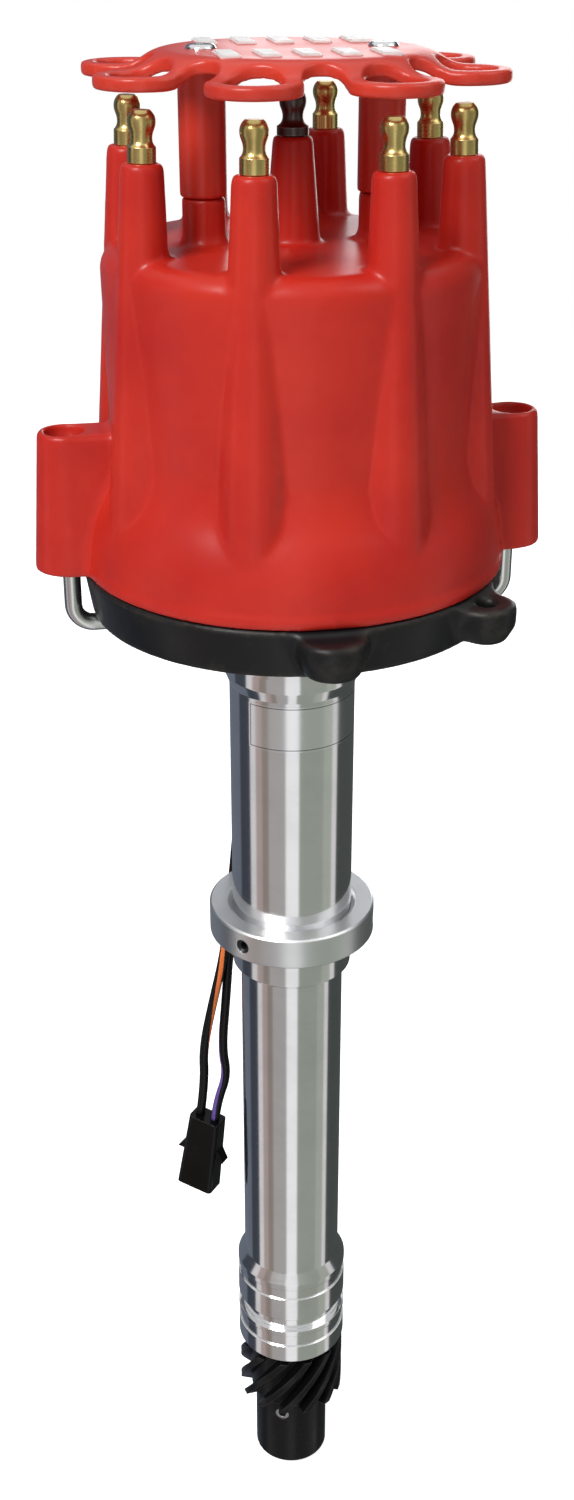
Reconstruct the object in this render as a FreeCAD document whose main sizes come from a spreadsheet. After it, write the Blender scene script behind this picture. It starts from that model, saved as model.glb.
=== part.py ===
import FreeCAD, Part
import math
import os
import Sketcher

# An ignition distributor for an eight-cylinder engine, standing as it does in the block: drive gear
# at the bottom, terminals at the top. Millimetres. The origin is on the shaft, at the middle of the
# wide pilot land that centres the housing in the block. +Z runs up to the cap, +X through the ears.

SIZES = {
    # Pilot section of the housing, from the wide land outwards.
    "pilot_radius": 16.05, "wide_land": 7.8, "deep_groove": 4.8, "deep_groove_depth": 1.4,
    "narrow_land": 1.6, "lower_groove": 4.4, "upper_groove": 3.8, "shallow_depth": 0.45,
    "end_land": 6.4, "head_land": 1.9, "shoulder_length": 2.6, "edge_chamfer": 0.7,
    # Tubes and neck of the housing.
    "mid_tube_radius": 14.0, "mid_tube_length": 102.3, "upper_tube_radius": 16.15,
    "upper_tube_length": 84.8, "neck_radius": 17.3, "neck_taper": 3.0, "neck_height": 22.0,
    "neck_bend": 10.0, "flange_radius": 30.0, "flange_thickness": 5.3, "main_bore": 8.0,
    "spigot_radius": 19.0, "spigot_height": 5.0, "bearing_sink": 2.0,
    # Shaft, bearings and their running clearance.
    "shaft_radius": 6.25, "running_clearance": 0.05, "bushing_wall": 2.3, "bushing_length": 25.0,
    "bearing_radius": 14.0, "bearing_width": 8.0, "race_thickness": 2.2, "ball_radius": 1.6,
    "ball_count": 8, "snap_ring_width": 2.0, "snap_ring_thickness": 1.0, "shaft_above_floor": 27.0,
    "drive_slot_width": 5.2, "drive_slot_depth": 7.0,
    # Drive gear.
    "gear_teeth": 13, "gear_tip_radius": 15.75, "gear_root_radius": 12.4, "gear_width": 20.2,
    "gear_hub_radius": 11.0, "gear_hub_length": 26.4, "gear_helix_angle": 35.0,
    "tooth_root_share": 0.62, "tooth_tip_share": 0.3, "tooth_bury": 0.8, "hub_chamfer": 1.3,
    "washer_thickness": 1.0, "washer_radius": 13.0, "end_gap": 0.4, "roll_pin_radius": 2.1,
    "roll_pin_bore": 1.1, "roll_pin_sink": 0.2, "roll_pin_height": 21.0, "roll_pin_angle": -115.5,
    # Slip collar.
    "collar_radius": 22.4, "collar_thickness": 8.8, "collar_rise": 10.6, "collar_chamfer": 0.5,
    "collar_bore_chamfer": 1.3, "set_screw_radius": 2.0, "set_screw_length": 5.2,
    "set_screw_gap": 0.3, "set_screw_angle": -136.5, "set_screw_socket": 1.1,
    "set_screw_socket_depth": 2.2,
    # Base ring and its two lugs.
    "base_radius": 51.8, "base_taper": 2.1, "base_height": 12.0, "base_floor": 4.0,
    "base_wall": 5.0, "lip_height": 1.8, "lip_step": 3.5, "lip_clearance": 0.15,
    "lip_relief": 1.0, "lug_root_width": 21.0, "lug_root_sink": 1.2, "lug_rise": 1.4,
    "lug_knee": 0.45, "lug_hole_radius": 2.4, "lug_overhang": 1.4,
    "lug_one_angle": -90.5, "lug_one_stand_out": -0.4, "lug_one_tip": 8.0, "lug_one_foot": 6.2,
    "lug_two_angle": -43.8, "lug_two_stand_out": 2.4, "lug_two_tip": 7.2, "lug_two_foot": 4.9,
    "base_screw_count": 3, "base_screw_angle": 30,
    "base_screw_circle": 25.0, "base_screw_radius": 1.9, "base_screw_head": 3.6,
    "base_screw_head_height": 2.2, "base_screw_length": 8.5, "screw_head_clearance": 0.4,
    # Cap shell, from the rim up. The skirt flares in three arcs.
    "cap_height": 75.6, "rim_band": 2.6, "rim_step": 0.6, "skirt_step": 1.8,
    "skirt_height": 12.0, "skirt_round": 41.5, "shoulder_step": 4.7, "shoulder_height": 19.0,
    "shoulder_round": 27.1, "flare_step": 8.2, "flare_height": 31.1, "flare_round": 26.0,
    "wall_step": 7.5, "cap_corner": 5.0, "cap_wall": 3.0, "ceiling_round": 2.0,
    "tower_count": 8, "tower_inset": 5.7, "tower_height": 20.3, "tower_tip_radius": 4.8,
    "tower_taper_angle": 2.62, "tower_lean_angle": 1.7, "tower_length": 92.0,
    "tower_round": 1.2, "first_tower_angle": 22.5, "centre_tower_height": 23.4,
    "centre_tower_tip": 4.6, "centre_tower_foot": 6.6, "post_circle": 20.4,
    "post_boss_radius": 4.95, "post_boss_height": 10.6, "post_boss_foot": 6.2,
    "post_fillet": 4.0, "post_fillet_height": 2.6,
    # Ears and hold-down latches.
    "ear_stand_out": 2.9, "ear_radius": 6.4, "ear_foot_radius": 8.6, "ear_height": 34.0,
    "ear_lift": 0.2, "ear_bore_radius": 4.7, "ear_floor": 3.6, "ear_round": 1.0,
    "rod_radius": 2.15, "rod_hole_clearance": 0.3, "rod_bend": 5.0, "hook_catch": 3.2,
    "hook_gap": 0.45, "latch_head_radius": 4.3, "latch_head_height": 3.0, "latch_head_sink": 3.2,
    "latch_slot_width": 1.3, "latch_slot_depth": 1.4, "latch_washer_thickness": 0.8,
    "latch_spring_wire": 0.55, "latch_spring_gap": 0.2, "latch_spring_turns": 5,
    # Terminals.
    "stud_height": 10.7, "stud_tip_radius": 1.9, "stud_bulge_radius": 3.05, "stud_bulge_drop": 2.3,
    "stud_neck_radius": 2.3, "stud_neck_drop": 5.7, "stud_collar_radius": 3.1,
    "stud_collar_drop": 7.5, "stud_core_radius": 2.2, "contact_drop": 20.0,
    "centre_stud_height": 9.5, "centre_flange_radius": 3.6, "centre_flange_height": 1.8,
    "button_radius": 3.0, "button_length": 8.0, "button_gap": 0.3, "button_boss_radius": 6.0,
    "button_clearance": 0.1, "button_spring_wire": 0.4, "button_spring_inset": 0.8,
    "button_spring_turns": 3,
    # Wire retainer.
    "retainer_top": 41.6, "retainer_thickness": 3.0, "retainer_disc": 27.5,
    "retainer_slope_end": 38.5,
    "retainer_margin": 0.1, "retainer_droop": 3.4, "loop_count": 8, "loop_shift": -0.4,
    "loop_radius": 10.2, "loop_hole_radius": 6.0, "loop_hole_stretch": 0.8,
    "scallop_depth": 30.5, "retainer_post_radius": 5.35, "retainer_post_sink": 0.5,
    "retainer_edge": 0.8, "retainer_screw_radius": 2.0, "retainer_screw_head": 3.5,
    "retainer_screw_head_height": 1.0, "retainer_screw_dome": 0.9,
    "retainer_screw_dome_round": 1.4, "retainer_screw_sink": 6.0, "screw_hex_radius": 1.5,
    "screw_hex_depth": 0.8,
    # Pickup inside the base ring.
    "pickup_plate_gap": 6.8, "pickup_plate_bore": 20.5, "pickup_plate_thickness": 1.5,
    "reluctor_radius": 24.0, "reluctor_root": 17.5, "reluctor_teeth": 8, "reluctor_tooth": 4.0,
    "reluctor_thickness": 4.0, "pickup_gap": 0.4, "pole_radius": 1.8, "pickup_axis": 9.2,
    "coil_radius": 5.4, "coil_length": 10.5, "coil_stand_off": 2.0, "bracket_thickness": 2.0,
    "bracket_width": 9.0, "bracket_rise": 1.0, "bracket_foot": 8.0, "bracket_foot_width": 21.6,
    "pickup_angle": 157.5, "pickup_screw_radius": 1.6, "pickup_screw_clearance": 0.1,
    "pickup_screw_head": 2.9, "pickup_screw_head_height": 1.8, "pickup_screw_circle": 36.5,
    "pickup_screw_spread": 7.6, "tooth_root_flare": 1.0,
    # Centrifugal advance and rotor.
    "sleeve_radius": 8.5, "sleeve_foot": 2.4, "carrier_height": 18.0, "carrier_radius": 31.0,
    "carrier_thickness": 2.0, "weight_gap": 0.3, "weight_thickness": 4.0,
    "weight_pin_circle": 24.0, "weight_pin_radius": 2.0, "weight_pin_height": 5.0,
    "weight_pin_angle": 35.0, "weight_inner": 12.3, "weight_outer": 27.0,
    "weight_heel_angle": 8.0, "weight_sweep_angle": 78.0, "cam_radius": 11.5,
    "cam_half_width": 6.5, "cam_thickness": 4.0,
    "rotor_stand_off": 9.5, "rotor_recess": 1.0, "rotor_recess_inset": 3.0,
    "rotor_disc_radius": 30.0, "rotor_disc_thickness": 3.0, "rotor_post_radius": 3.6,
    "rotor_post_circle": 26.0, "rotor_hub_foot": 15.0, "rotor_hub_top": 9.0,
    "rotor_hub_height": 28.0, "rotor_arm_width": 10.0, "rotor_arm_height": 5.0,
    "rotor_gap": 1.0, "blade_tail": 1.0, "blade_width": 5.0, "blade_thickness": 1.2,
    "blade_overhang": 2.0, "rotor_screw_radius": 1.7, "rotor_screw_head": 3.1,
    "rotor_screw_head_height": 2.0,
    # Leads.
    "lead_radius": 1.35, "grommet_radius": 5.2, "grommet_flange": 1.4, "grommet_groove": 0.8,
    "grommet_taper": 1.0, "grommet_clearance": 0.5,
    "grommet_x": -6.5, "grommet_y": 33.7, "connector_x": -22.2, "connector_y": 18.4,
    "connector_top": 48.7, "connector_angle": -37.5, "connector_tilt_angle": 7.3,
    "connector_tilt_axis_angle": 79.5,
    "connector_width": 11.6, "connector_depth": 7.4, "connector_length": 25.0,
    "connector_head_width": 9.8, "connector_head_depth": 6.4, "connector_corner": 1.2,
    "connector_wing": 1.9, "connector_wing_height": 3.8, "connector_wing_drop": 9.6,
    "connector_wing_root": 0.6, "socket_radius": 1.9, "socket_pitch": 5.0,
    "socket_depth": 11.0, "pin_radius": 0.9, "pin_length": 8.5,
}

doc = FreeCAD.newDocument("Distributor")
sheet = doc.addObject("Spreadsheet::Sheet", "Sizes")
for row, (name, value) in enumerate(SIZES.items(), start=1):
    sheet.set(f"A{row}", name)
    sheet.set(f"B{row}", str(value))
    sheet.setAlias(f"B{row}", name)
doc.recompute()


class Size:
    """A length or angle worked out from the sheet: its value now, and the expression that gives it."""

    def __init__(self, value, text):
        self.value = value
        self.text = text

    def __add__(self, other):
        other = as_size(other)
        return Size(self.value + other.value, f"({self.text} + {other.text})")

    def __sub__(self, other):
        other = as_size(other)
        return Size(self.value - other.value, f"({self.text} - {other.text})")

    def __rsub__(self, other):
        return as_size(other) - self

    def __mul__(self, other):
        other = as_size(other)
        return Size(self.value * other.value, f"({self.text} * {other.text})")

    def __truediv__(self, other):
        other = as_size(other)
        return Size(self.value / other.value, f"({self.text} / {other.text})")

    def __rtruediv__(self, other):
        return as_size(other) / self

    def __neg__(self):
        return as_size(0) - self

    __radd__ = __add__
    __rmul__ = __mul__


def as_size(number):
    """A plain number as a Size, so that both mix in one sum."""
    return number if isinstance(number, Size) else Size(float(number), repr(float(number)))


def size(name):
    """The size of that name in the sheet."""
    return Size(float(sheet.get(name)), f"Sizes.{name}")


def cos(angle):
    angle = as_size(angle)
    return Size(math.cos(math.radians(angle.value)), f"cos({angle.text})")


def sin(angle):
    angle = as_size(angle)
    return Size(math.sin(math.radians(angle.value)), f"sin({angle.text})")


def tan(angle):
    return sin(angle) / cos(angle)


def root(number):
    return Size(math.sqrt(number.value), f"sqrt({number.text})")


def arc_radius(run, rise):
    """The radius of an arc that starts upright and leans over by a run while it climbs a rise."""
    return (run * run + rise * rise) / (2 * run)


def bind(thing, **sizes):
    """Set properties of an object to sizes; double underscores stand for dots."""
    for key, value in sizes.items():
        thing.setExpression(key.replace("__", "."), as_size(value).text)


def place(thing, x=0, y=0, z=0, turn=0):
    """Put a sub-part at x, y, z, turned about the vertical."""
    values = [as_size(number).value for number in (x, y, z, turn)]
    spin = FreeCAD.Rotation(FreeCAD.Vector(0, 0, 1), values[3])
    thing.Placement = FreeCAD.Placement(FreeCAD.Vector(*values[:3]), spin)
    bind(thing, Placement__Base__x=x, Placement__Base__y=y, Placement__Base__z=z)
    bind(thing, Placement__Rotation__Angle=turn)
    return thing


def origin_feature(body, role):
    """A plane or axis of the body's own origin."""
    return next(item for item in body.Origin.OriginFeatures if item.Role == role)


def new_sketch(body, name, plane="XZ_Plane", x=0, y=0, z=0, turn=0):
    """A sketch on one of the body's own planes, moved and turned within that plane's frame."""
    sketch = body.newObject("Sketcher::SketchObject", name)
    sketch.AttachmentSupport = (origin_feature(body, plane), [""])
    sketch.MapMode = "FlatFace"
    values = [as_size(number).value for number in (x, y, z, turn)]
    spin = FreeCAD.Rotation(FreeCAD.Vector(0, 0, 1), values[3])
    sketch.AttachmentOffset = FreeCAD.Placement(FreeCAD.Vector(*values[:3]), spin)
    bind(sketch, AttachmentOffset__Base__x=x, AttachmentOffset__Base__y=y,
         AttachmentOffset__Base__z=z, AttachmentOffset__Rotation__Angle=turn)
    return sketch


def pin_point(sketch, edge, end, x, y):
    """Hold one end of an edge at x, y with bound distances, or on an axis where a distance is 0."""
    for kind, axis, number in (("DistanceX", -2, x), ("DistanceY", -1, y)):
        if as_size(number).value == 0:
            sketch.addConstraint(Sketcher.Constraint("PointOnObject", edge, end, axis))
            continue
        value = as_size(number)
        index = sketch.addConstraint(Sketcher.Constraint(kind, -1, 1, edge, end, value.value))
        sketch.setExpression(f"Constraints[{index}]", value.text)


def add_arc(sketch, start, end, radius):
    """A short arc from start to end; a positive radius bulges to the right of the way there."""
    middle = (start + end) * 0.5
    half = (end - start).Length / 2
    to_right = FreeCAD.Vector((end - start).y, -(end - start).x, 0).normalize()
    size_now = abs(radius)
    sagitta = size_now - math.sqrt(size_now ** 2 - half ** 2)
    bulge = middle + to_right * math.copysign(sagitta, radius)
    edge = sketch.addGeometry(Part.Arc(start, bulge, end))
    first_end = 1 if (sketch.getPoint(edge, 1) - start).Length < 1e-6 else 2
    return edge, first_end


def outline(sketch, corners, closed=True):
    """Straight sides and arcs through the corners. A corner is (x, y), or (x, y, radius) where an
    arc leads to it: a positive radius bulges to the right of the way there."""
    points = [FreeCAD.Vector(as_size(c[0]).value, as_size(c[1]).value, 0) for c in corners]
    count = len(corners)
    ends = []
    for index in range(count if closed else count - 1):
        after = (index + 1) % count
        corner = corners[after]
        if len(corner) == 3:
            radius = as_size(corner[2])
            edge, first = add_arc(sketch, points[index], points[after], radius.value)
            given = Sketcher.Constraint("Radius", edge, abs(radius.value))
            number = sketch.addConstraint(given)
            sketch.setExpression(f"Constraints[{number}]", f"abs({radius.text})")
        else:
            edge = sketch.addGeometry(Part.LineSegment(points[index], points[after]))
            first = 1
        ends.append((edge, first, 3 - first))
    for index, (edge, first, last) in enumerate(ends):
        pin_point(sketch, edge, first, corners[index][0], corners[index][1])
        if closed or index + 1 < len(ends):
            after = ends[(index + 1) % len(ends)]
            joint = Sketcher.Constraint("Coincident", edge, last, after[0], after[1])
            sketch.addConstraint(joint)
    if not closed:
        pin_point(sketch, ends[-1][0], ends[-1][2], corners[-1][0], corners[-1][1])


def new_body(label):
    body = doc.addObject("PartDesign::Body", label)
    body.Label = label
    return body


def turned(label, corners, x=0, z=0, lean=0):
    """A body turned from a half profile of (radius, height) corners, about an upright axis, or one
    that passes x, z and leans in towards the middle."""
    body = new_body(label)
    sketch = new_sketch(body, label + "_profile", x=x, y=z, turn=lean)
    outline(sketch, corners)
    turn = body.newObject("PartDesign::Revolution", label + "_turn")
    turn.Profile = sketch
    turn.ReferenceAxis = (sketch, ["V_Axis"])
    turn.Angle = 360
    return body


def padded(label, corners, height):
    """A body whose flat outline lies in XY and rises by the height."""
    body = new_body(label)
    sketch = new_sketch(body, label + "_outline", plane="XY_Plane")
    outline(sketch, corners)
    pad = body.newObject("PartDesign::Pad", label + "_pad")
    pad.Profile = sketch
    bind(pad, Length=height)
    return body


def lofted(label, low, high, foot, head):
    """A body whose flat outline changes from one to another between two heights."""
    body = new_body(label)
    sections = []
    for end, corners, height in (("low", low, foot), ("high", high, head)):
        sketch = new_sketch(body, f"{label}_{end}", plane="XY_Plane", z=height)
        outline(sketch, corners)
        sections.append(sketch)
    loft = body.newObject("PartDesign::AdditiveLoft", label + "_loft")
    loft.Profile = sections[0]
    loft.Sections = sections[1:]
    loft.Ruled = True
    return body


def patterned(body, feature, count):
    """Repeat a feature of a body round its upright axis."""
    pattern = body.newObject("PartDesign::PolarPattern", body.Label + "_pattern")
    pattern.Originals = [feature]
    pattern.Axis = (origin_feature(body, "Z_Axis"), [""])
    pattern.Angle = 360
    bind(pattern, Occurrences=count)
    body.Tip = pattern
    return pattern


def cylinder(label, radius, height, x=0, y=0, z=0):
    rod = doc.addObject("Part::Cylinder", label)
    bind(rod, Radius=radius, Height=height)
    return place(rod, x, y, z)


def cone(label, foot, top, height, x=0, y=0, z=0):
    solid = doc.addObject("Part::Cone", label)
    bind(solid, Radius1=foot, Radius2=top, Height=height)
    return place(solid, x, y, z)


def block(label, length, width, height, x=0, y=0, z=0, turn=0):
    """A box that runs outwards from x, y along its turn, with x, y in the middle of its near side."""
    box = doc.addObject("Part::Box", label)
    bind(box, Length=length, Width=width, Height=height)
    shift_x = as_size(x) + as_size(width) / 2 * sin(turn)
    shift_y = as_size(y) - as_size(width) / 2 * cos(turn)
    return place(box, shift_x, shift_y, z, turn)


def lying(label, radius, length, start, height, turn):
    """A cylinder that lies along a spoke, from that start radius outwards."""
    rod = doc.addObject("Part::Cylinder", label)
    bind(rod, Radius=radius, Height=length)
    angle = as_size(turn)
    tip = FreeCAD.Rotation(FreeCAD.Vector(0, 1, 0), 90)
    spin = FreeCAD.Rotation(FreeCAD.Vector(0, 0, 1), angle.value)
    rod.Placement = FreeCAD.Placement(FreeCAD.Vector(0, 0, 0), spin * tip)
    start = as_size(start)
    bind(rod, Placement__Base__x=start * cos(angle), Placement__Base__y=start * sin(angle),
         Placement__Base__z=height)
    return rod


def joined(label, pieces):
    """Several solids made into one."""
    whole = doc.addObject("Part::MultiFuse", label)
    whole.Shapes = pieces
    whole.Refine = True
    return whole


def cut(label, base, tools):
    """A solid with the tools' shapes taken away."""
    tool = tools[0]
    if len(tools) > 1:
        tool = doc.addObject("Part::MultiFuse", label + "_tools")
        tool.Shapes = tools
    left = doc.addObject("Part::Cut", label)
    left.Base = base
    left.Tool = tool
    left.Refine = True
    return left


def group(label, pieces):
    """Like pieces in one node, each a solid of its own."""
    bundle = doc.addObject("Part::Compound", label)
    bundle.Links = pieces
    return bundle


def spokes(count, first=0.0):
    """Evenly spaced angles round the shaft."""
    total = int(as_size(count).value)
    return [as_size(first) + as_size(360.0 * index / total) for index in range(total)]


# How far a cutting tool runs past the face that it starts or ends at.
PAST = 1
nodes = {}


def node(name, thing):
    """Name a finished sub-part; the name is also its file's."""
    thing.Label = name
    nodes[name] = thing
    return thing


# Heights up the housing and the cap, each from the one below it, and the cap's main radii.
land_foot = -size("wide_land") / 2
narrow_head = land_foot - size("deep_groove")
narrow_foot = narrow_head - size("narrow_land")
end_land_head = narrow_foot - size("lower_groove")
housing_foot = end_land_head - size("end_land")
land_head = size("wide_land") / 2
head_land_foot = land_head + size("upper_groove")
head_land_head = head_land_foot + size("head_land")
mid_foot = head_land_head + size("shoulder_length")
upper_foot = mid_foot + size("mid_tube_length")
neck_foot = upper_foot + size("upper_tube_length")
base_foot = neck_foot + size("neck_height")
base_inside = base_foot + size("base_floor")
base_rim = base_foot + size("base_height")
plateau = base_rim + size("cap_height")
ceiling = plateau - size("cap_wall")
tower_top = plateau + size("tower_height")
centre_top = plateau + size("centre_tower_height")
retainer_top = plateau + size("retainer_top")
retainer_under = retainer_top - size("retainer_thickness")
post_joint = plateau + size("post_boss_height")
bearing_foot = base_foot - size("bearing_width") - size("bearing_sink")
gear_head = housing_foot - size("end_gap") - size("washer_thickness")
gear_foot = gear_head - size("gear_width") - size("gear_hub_length")
wall_radius = size("base_radius") - size("wall_step")
tower_circle = wall_radius - size("tower_inset")
ear_circle = size("base_radius") + size("ear_stand_out")

# Housing: turned from one bar. Its pilot fits the block, the collar slides on the upper tube, and
# the flange at the top carries the base ring.
pilot = size("pilot_radius")
shallow = pilot - size("shallow_depth")
deep = pilot - size("deep_groove_depth")
chamfer = size("edge_chamfer")
bushing_radius = size("shaft_radius") + size("bushing_wall")
flange_foot = base_foot - size("flange_thickness")
housing = turned("housing_body", [
    (bushing_radius, housing_foot),
    (pilot - chamfer, housing_foot),
    (pilot, housing_foot + chamfer),
    (pilot, end_land_head),
    (shallow, end_land_head),
    (shallow, narrow_foot),
    (pilot, narrow_foot),
    (pilot, narrow_head),
    (deep, narrow_head),
    (deep, land_foot),
    (pilot, land_foot),
    (pilot, land_head),
    (shallow, land_head),
    (shallow, head_land_foot),
    (pilot, head_land_foot),
    (pilot, head_land_head),
    (size("mid_tube_radius"), mid_foot),
    (size("mid_tube_radius"), upper_foot),
    (size("upper_tube_radius") - chamfer, upper_foot),
    (size("upper_tube_radius"), upper_foot + chamfer),
    (size("upper_tube_radius"), neck_foot),
    (size("neck_radius"), neck_foot + size("neck_taper")),
    (size("neck_radius"), flange_foot - size("neck_bend")),
    (size("neck_radius") + size("neck_bend"), flange_foot, -size("neck_bend")),
    (size("flange_radius"), flange_foot),
    (size("flange_radius"), base_foot),
    (size("spigot_radius"), base_foot),
    (size("spigot_radius"), base_foot + size("spigot_height")),
    (size("bearing_radius"), base_foot + size("spigot_height")),
    (size("bearing_radius"), bearing_foot),
    (size("main_bore"), bearing_foot),
    (size("main_bore"), housing_foot + size("bushing_length")),
    (bushing_radius, housing_foot + size("bushing_length")),
])
screw_holes = []
for index, turn in enumerate(spokes(size("base_screw_count"), size("base_screw_angle"))):
    screw_holes.append(cylinder(
        f"base_screw_hole_{index}", size("base_screw_radius"),
        size("base_screw_length") - size("base_floor"),
        size("base_screw_circle") * cos(turn), size("base_screw_circle") * sin(turn),
        base_inside - size("base_screw_length")))
node("housing", cut("housing_drilled", housing, screw_holes))

# Bushing in the housing's foot, and the shielded ball bearing under the base ring.
bore = size("shaft_radius") + size("running_clearance")
bushing_head = housing_foot + size("bushing_length")
node("lower_bushing", turned("bushing", [
    (bore, housing_foot), (bushing_radius, housing_foot), (bushing_radius, bushing_head),
    (bore, bushing_head)]))
bearing_head = bearing_foot + size("bearing_width")
inner_race = size("shaft_radius") + size("race_thickness")
outer_race = size("bearing_radius") - size("race_thickness")
node("bearing_outer_race", turned("outer_race", [
    (outer_race, bearing_foot), (size("bearing_radius"), bearing_foot),
    (size("bearing_radius"), bearing_head), (outer_race, bearing_head)]))
node("bearing_inner_race", turned("inner_race", [
    (size("shaft_radius"), bearing_foot), (inner_race, bearing_foot),
    (inner_race, bearing_head), (size("shaft_radius"), bearing_head)]))
balls = []
ball_circle = (inner_race + outer_race) / 2
for index, turn in enumerate(spokes(size("ball_count"))):
    ball = doc.addObject("Part::Sphere", f"ball_{index}")
    bind(ball, Radius=size("ball_radius"))
    balls.append(place(ball, ball_circle * cos(turn), ball_circle * sin(turn),
                       bearing_foot + size("bearing_width") / 2))
node("bearing_balls", group("balls", balls))

# Shaft: one ground rod, slotted at the foot for the oil pump's drive.
shaft_head = base_inside + size("shaft_above_floor")
rod = cylinder("shaft_rod", size("shaft_radius"), shaft_head - gear_foot, z=gear_foot)
slot = block("drive_slot", 4 * size("shaft_radius"), size("drive_slot_width"),
             size("drive_slot_depth"), x=-2 * size("shaft_radius"), z=gear_foot)
pin_height = gear_foot + size("roll_pin_height")
pin_hole = lying("shaft_pin_hole", size("roll_pin_radius"), 2 * size("gear_hub_radius"),
                 -size("gear_hub_radius"), pin_height, size("roll_pin_angle"))
node("shaft", cut("shaft_cut", rod, [slot, pin_hole]))
node("shaft_snap_ring", turned("snap_ring", [
    (size("shaft_radius"), bearing_head),
    (size("shaft_radius") + size("snap_ring_width"), bearing_head),
    (size("shaft_radius") + size("snap_ring_width"), bearing_head + size("snap_ring_thickness")),
    (size("shaft_radius"), bearing_head + size("snap_ring_thickness"))]))

# Drive gear: a hub with helical teeth, cut right-handed, pinned to the shaft through the hub.
gear = new_body("gear_blank")
hub_sketch = new_sketch(gear, "hub_profile")
tooth_foot = gear_foot + size("gear_hub_length")
outline(hub_sketch, [
    (size("shaft_radius"), gear_foot),
    (size("gear_hub_radius") - size("hub_chamfer"), gear_foot),
    (size("gear_hub_radius"), gear_foot + size("hub_chamfer")),
    (size("gear_hub_radius"), tooth_foot),
    (size("gear_root_radius"), tooth_foot),
    (size("gear_root_radius"), gear_head),
    (size("shaft_radius"), gear_head)])
hub_turn = gear.newObject("PartDesign::Revolution", "hub_turn")
hub_turn.Profile = hub_sketch
hub_turn.ReferenceAxis = (hub_sketch, ["V_Axis"])
hub_turn.Angle = 360
pitch_angle = 360 / size("gear_teeth")
root_half = pitch_angle * size("tooth_root_share") / 2
tip_half = pitch_angle * size("tooth_tip_share") / 2
middle_half = (root_half + 2 * tip_half) / 3
middle_radius = (size("gear_root_radius") + size("gear_tip_radius")) / 2
buried_radius = size("gear_root_radius") - size("tooth_bury")
twist = size("gear_width") * tan(size("gear_helix_angle")) / middle_radius * (180 / math.pi)
section_count = 5
sections = []
for index in range(section_count):
    share = index / (section_count - 1)
    section = new_sketch(gear, f"tooth_section_{index}", plane="XY_Plane",
                         z=tooth_foot + size("gear_width") * share, turn=twist * share)
    flank = [(buried_radius, root_half), (middle_radius, middle_half),
             (size("gear_tip_radius"), tip_half)]
    corners = [(radius * cos(half), -radius * sin(half)) for radius, half in flank]
    corners += [(radius * cos(half), radius * sin(half)) for radius, half in reversed(flank)]
    outline(section, corners)
    sections.append(section)
tooth = gear.newObject("PartDesign::AdditiveLoft", "tooth")
tooth.Profile = sections[0]
tooth.Sections = sections[1:]
tooth.Refine = False
patterned(gear, tooth, size("gear_teeth"))
gear_pin_hole = lying("gear_pin_hole", size("roll_pin_radius"), 2 * size("gear_hub_radius"),
                      -size("gear_hub_radius"), pin_height, size("roll_pin_angle"))
node("drive_gear", cut("gear_drilled", gear, [gear_pin_hole]))
pin_half = size("gear_hub_radius") - size("roll_pin_sink")
pin_rod = lying("pin_rod", size("roll_pin_radius"), 2 * pin_half, -pin_half, pin_height,
                size("roll_pin_angle"))
pin_bore = lying("pin_bore", size("roll_pin_bore"), 2 * pin_half, -pin_half, pin_height,
                 size("roll_pin_angle"))
node("roll_pin", cut("pin_cut", pin_rod, [pin_bore]))
node("thrust_washer", turned("washer", [
    (size("shaft_radius"), gear_head), (size("washer_radius"), gear_head),
    (size("washer_radius"), gear_head + size("washer_thickness")),
    (size("shaft_radius"), gear_head + size("washer_thickness"))]))

# Slip collar: a plain ring that slides on the upper tube and sets how deep the housing goes. Three
# socket set screws hold it.
collar_foot = upper_foot + size("collar_rise")
collar_head = collar_foot + size("collar_thickness")
collar_bore = size("upper_tube_radius") + size("running_clearance")
collar_edge = size("collar_chamfer")
collar_ring = turned("collar_ring", [
    (collar_bore, collar_foot),
    (size("collar_radius") - collar_edge, collar_foot),
    (size("collar_radius"), collar_foot + collar_edge),
    (size("collar_radius"), collar_head - collar_edge),
    (size("collar_radius") - collar_edge, collar_head),
    (collar_bore + size("collar_bore_chamfer"), collar_head),
    (collar_bore, collar_head - size("collar_bore_chamfer"))])
collar_holes = []
set_screws = []
collar_middle = (collar_foot + collar_head) / 2
screw_start = collar_bore + size("set_screw_gap")
for index, turn in enumerate(spokes(3, size("set_screw_angle"))):
    collar_holes.append(lying(f"set_screw_hole_{index}", size("set_screw_radius"),
                              size("collar_radius") - collar_bore + 2 * PAST,
                              collar_bore - PAST,
                              collar_middle, turn))
    screw = lying(f"set_screw_{index}", size("set_screw_radius"), size("set_screw_length"),
                  screw_start, collar_middle, turn)
    socket = lying(f"set_screw_socket_{index}", size("set_screw_socket"),
                   size("set_screw_socket_depth"),
                   screw_start + size("set_screw_length") - size("set_screw_socket_depth"),
                   collar_middle, turn)
    set_screws.append(cut(f"set_screw_cut_{index}", screw, [socket]))
node("slip_collar", cut("collar_drilled", collar_ring, collar_holes))
node("collar_set_screws", group("set_screws", set_screws))

# Base ring: a moulded ring with a floor. It locates on the housing's spigot, three screws hold it
# to the flange, and the cap stands on its rim. Of the two lugs on its wall, the right-hand one
# is drilled.
inside_radius = size("base_radius") - size("base_wall")
lip_radius = size("base_radius") - size("lip_step")
seat_bore = size("spigot_radius") + size("running_clearance")
ring = turned("base_ring_wall", [
    (seat_bore, base_foot),
    (size("base_radius") - size("base_taper"), base_foot),
    (size("base_radius"), base_rim),
    (lip_radius, base_rim),
    (lip_radius, base_rim + size("lip_height")),
    (inside_radius, base_rim + size("lip_height")),
    (inside_radius, base_inside),
    (seat_bore, base_inside)])
lugs = []
lug_centres = []
lug_foot = base_foot + size("lug_rise")
lug_head = base_rim - size("lug_overhang")
lug_knee = lug_foot + (lug_head - lug_foot) * size("lug_knee")
lug_root = size("base_radius") - size("lug_root_sink")
half_root = size("lug_root_width") / 2
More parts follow.
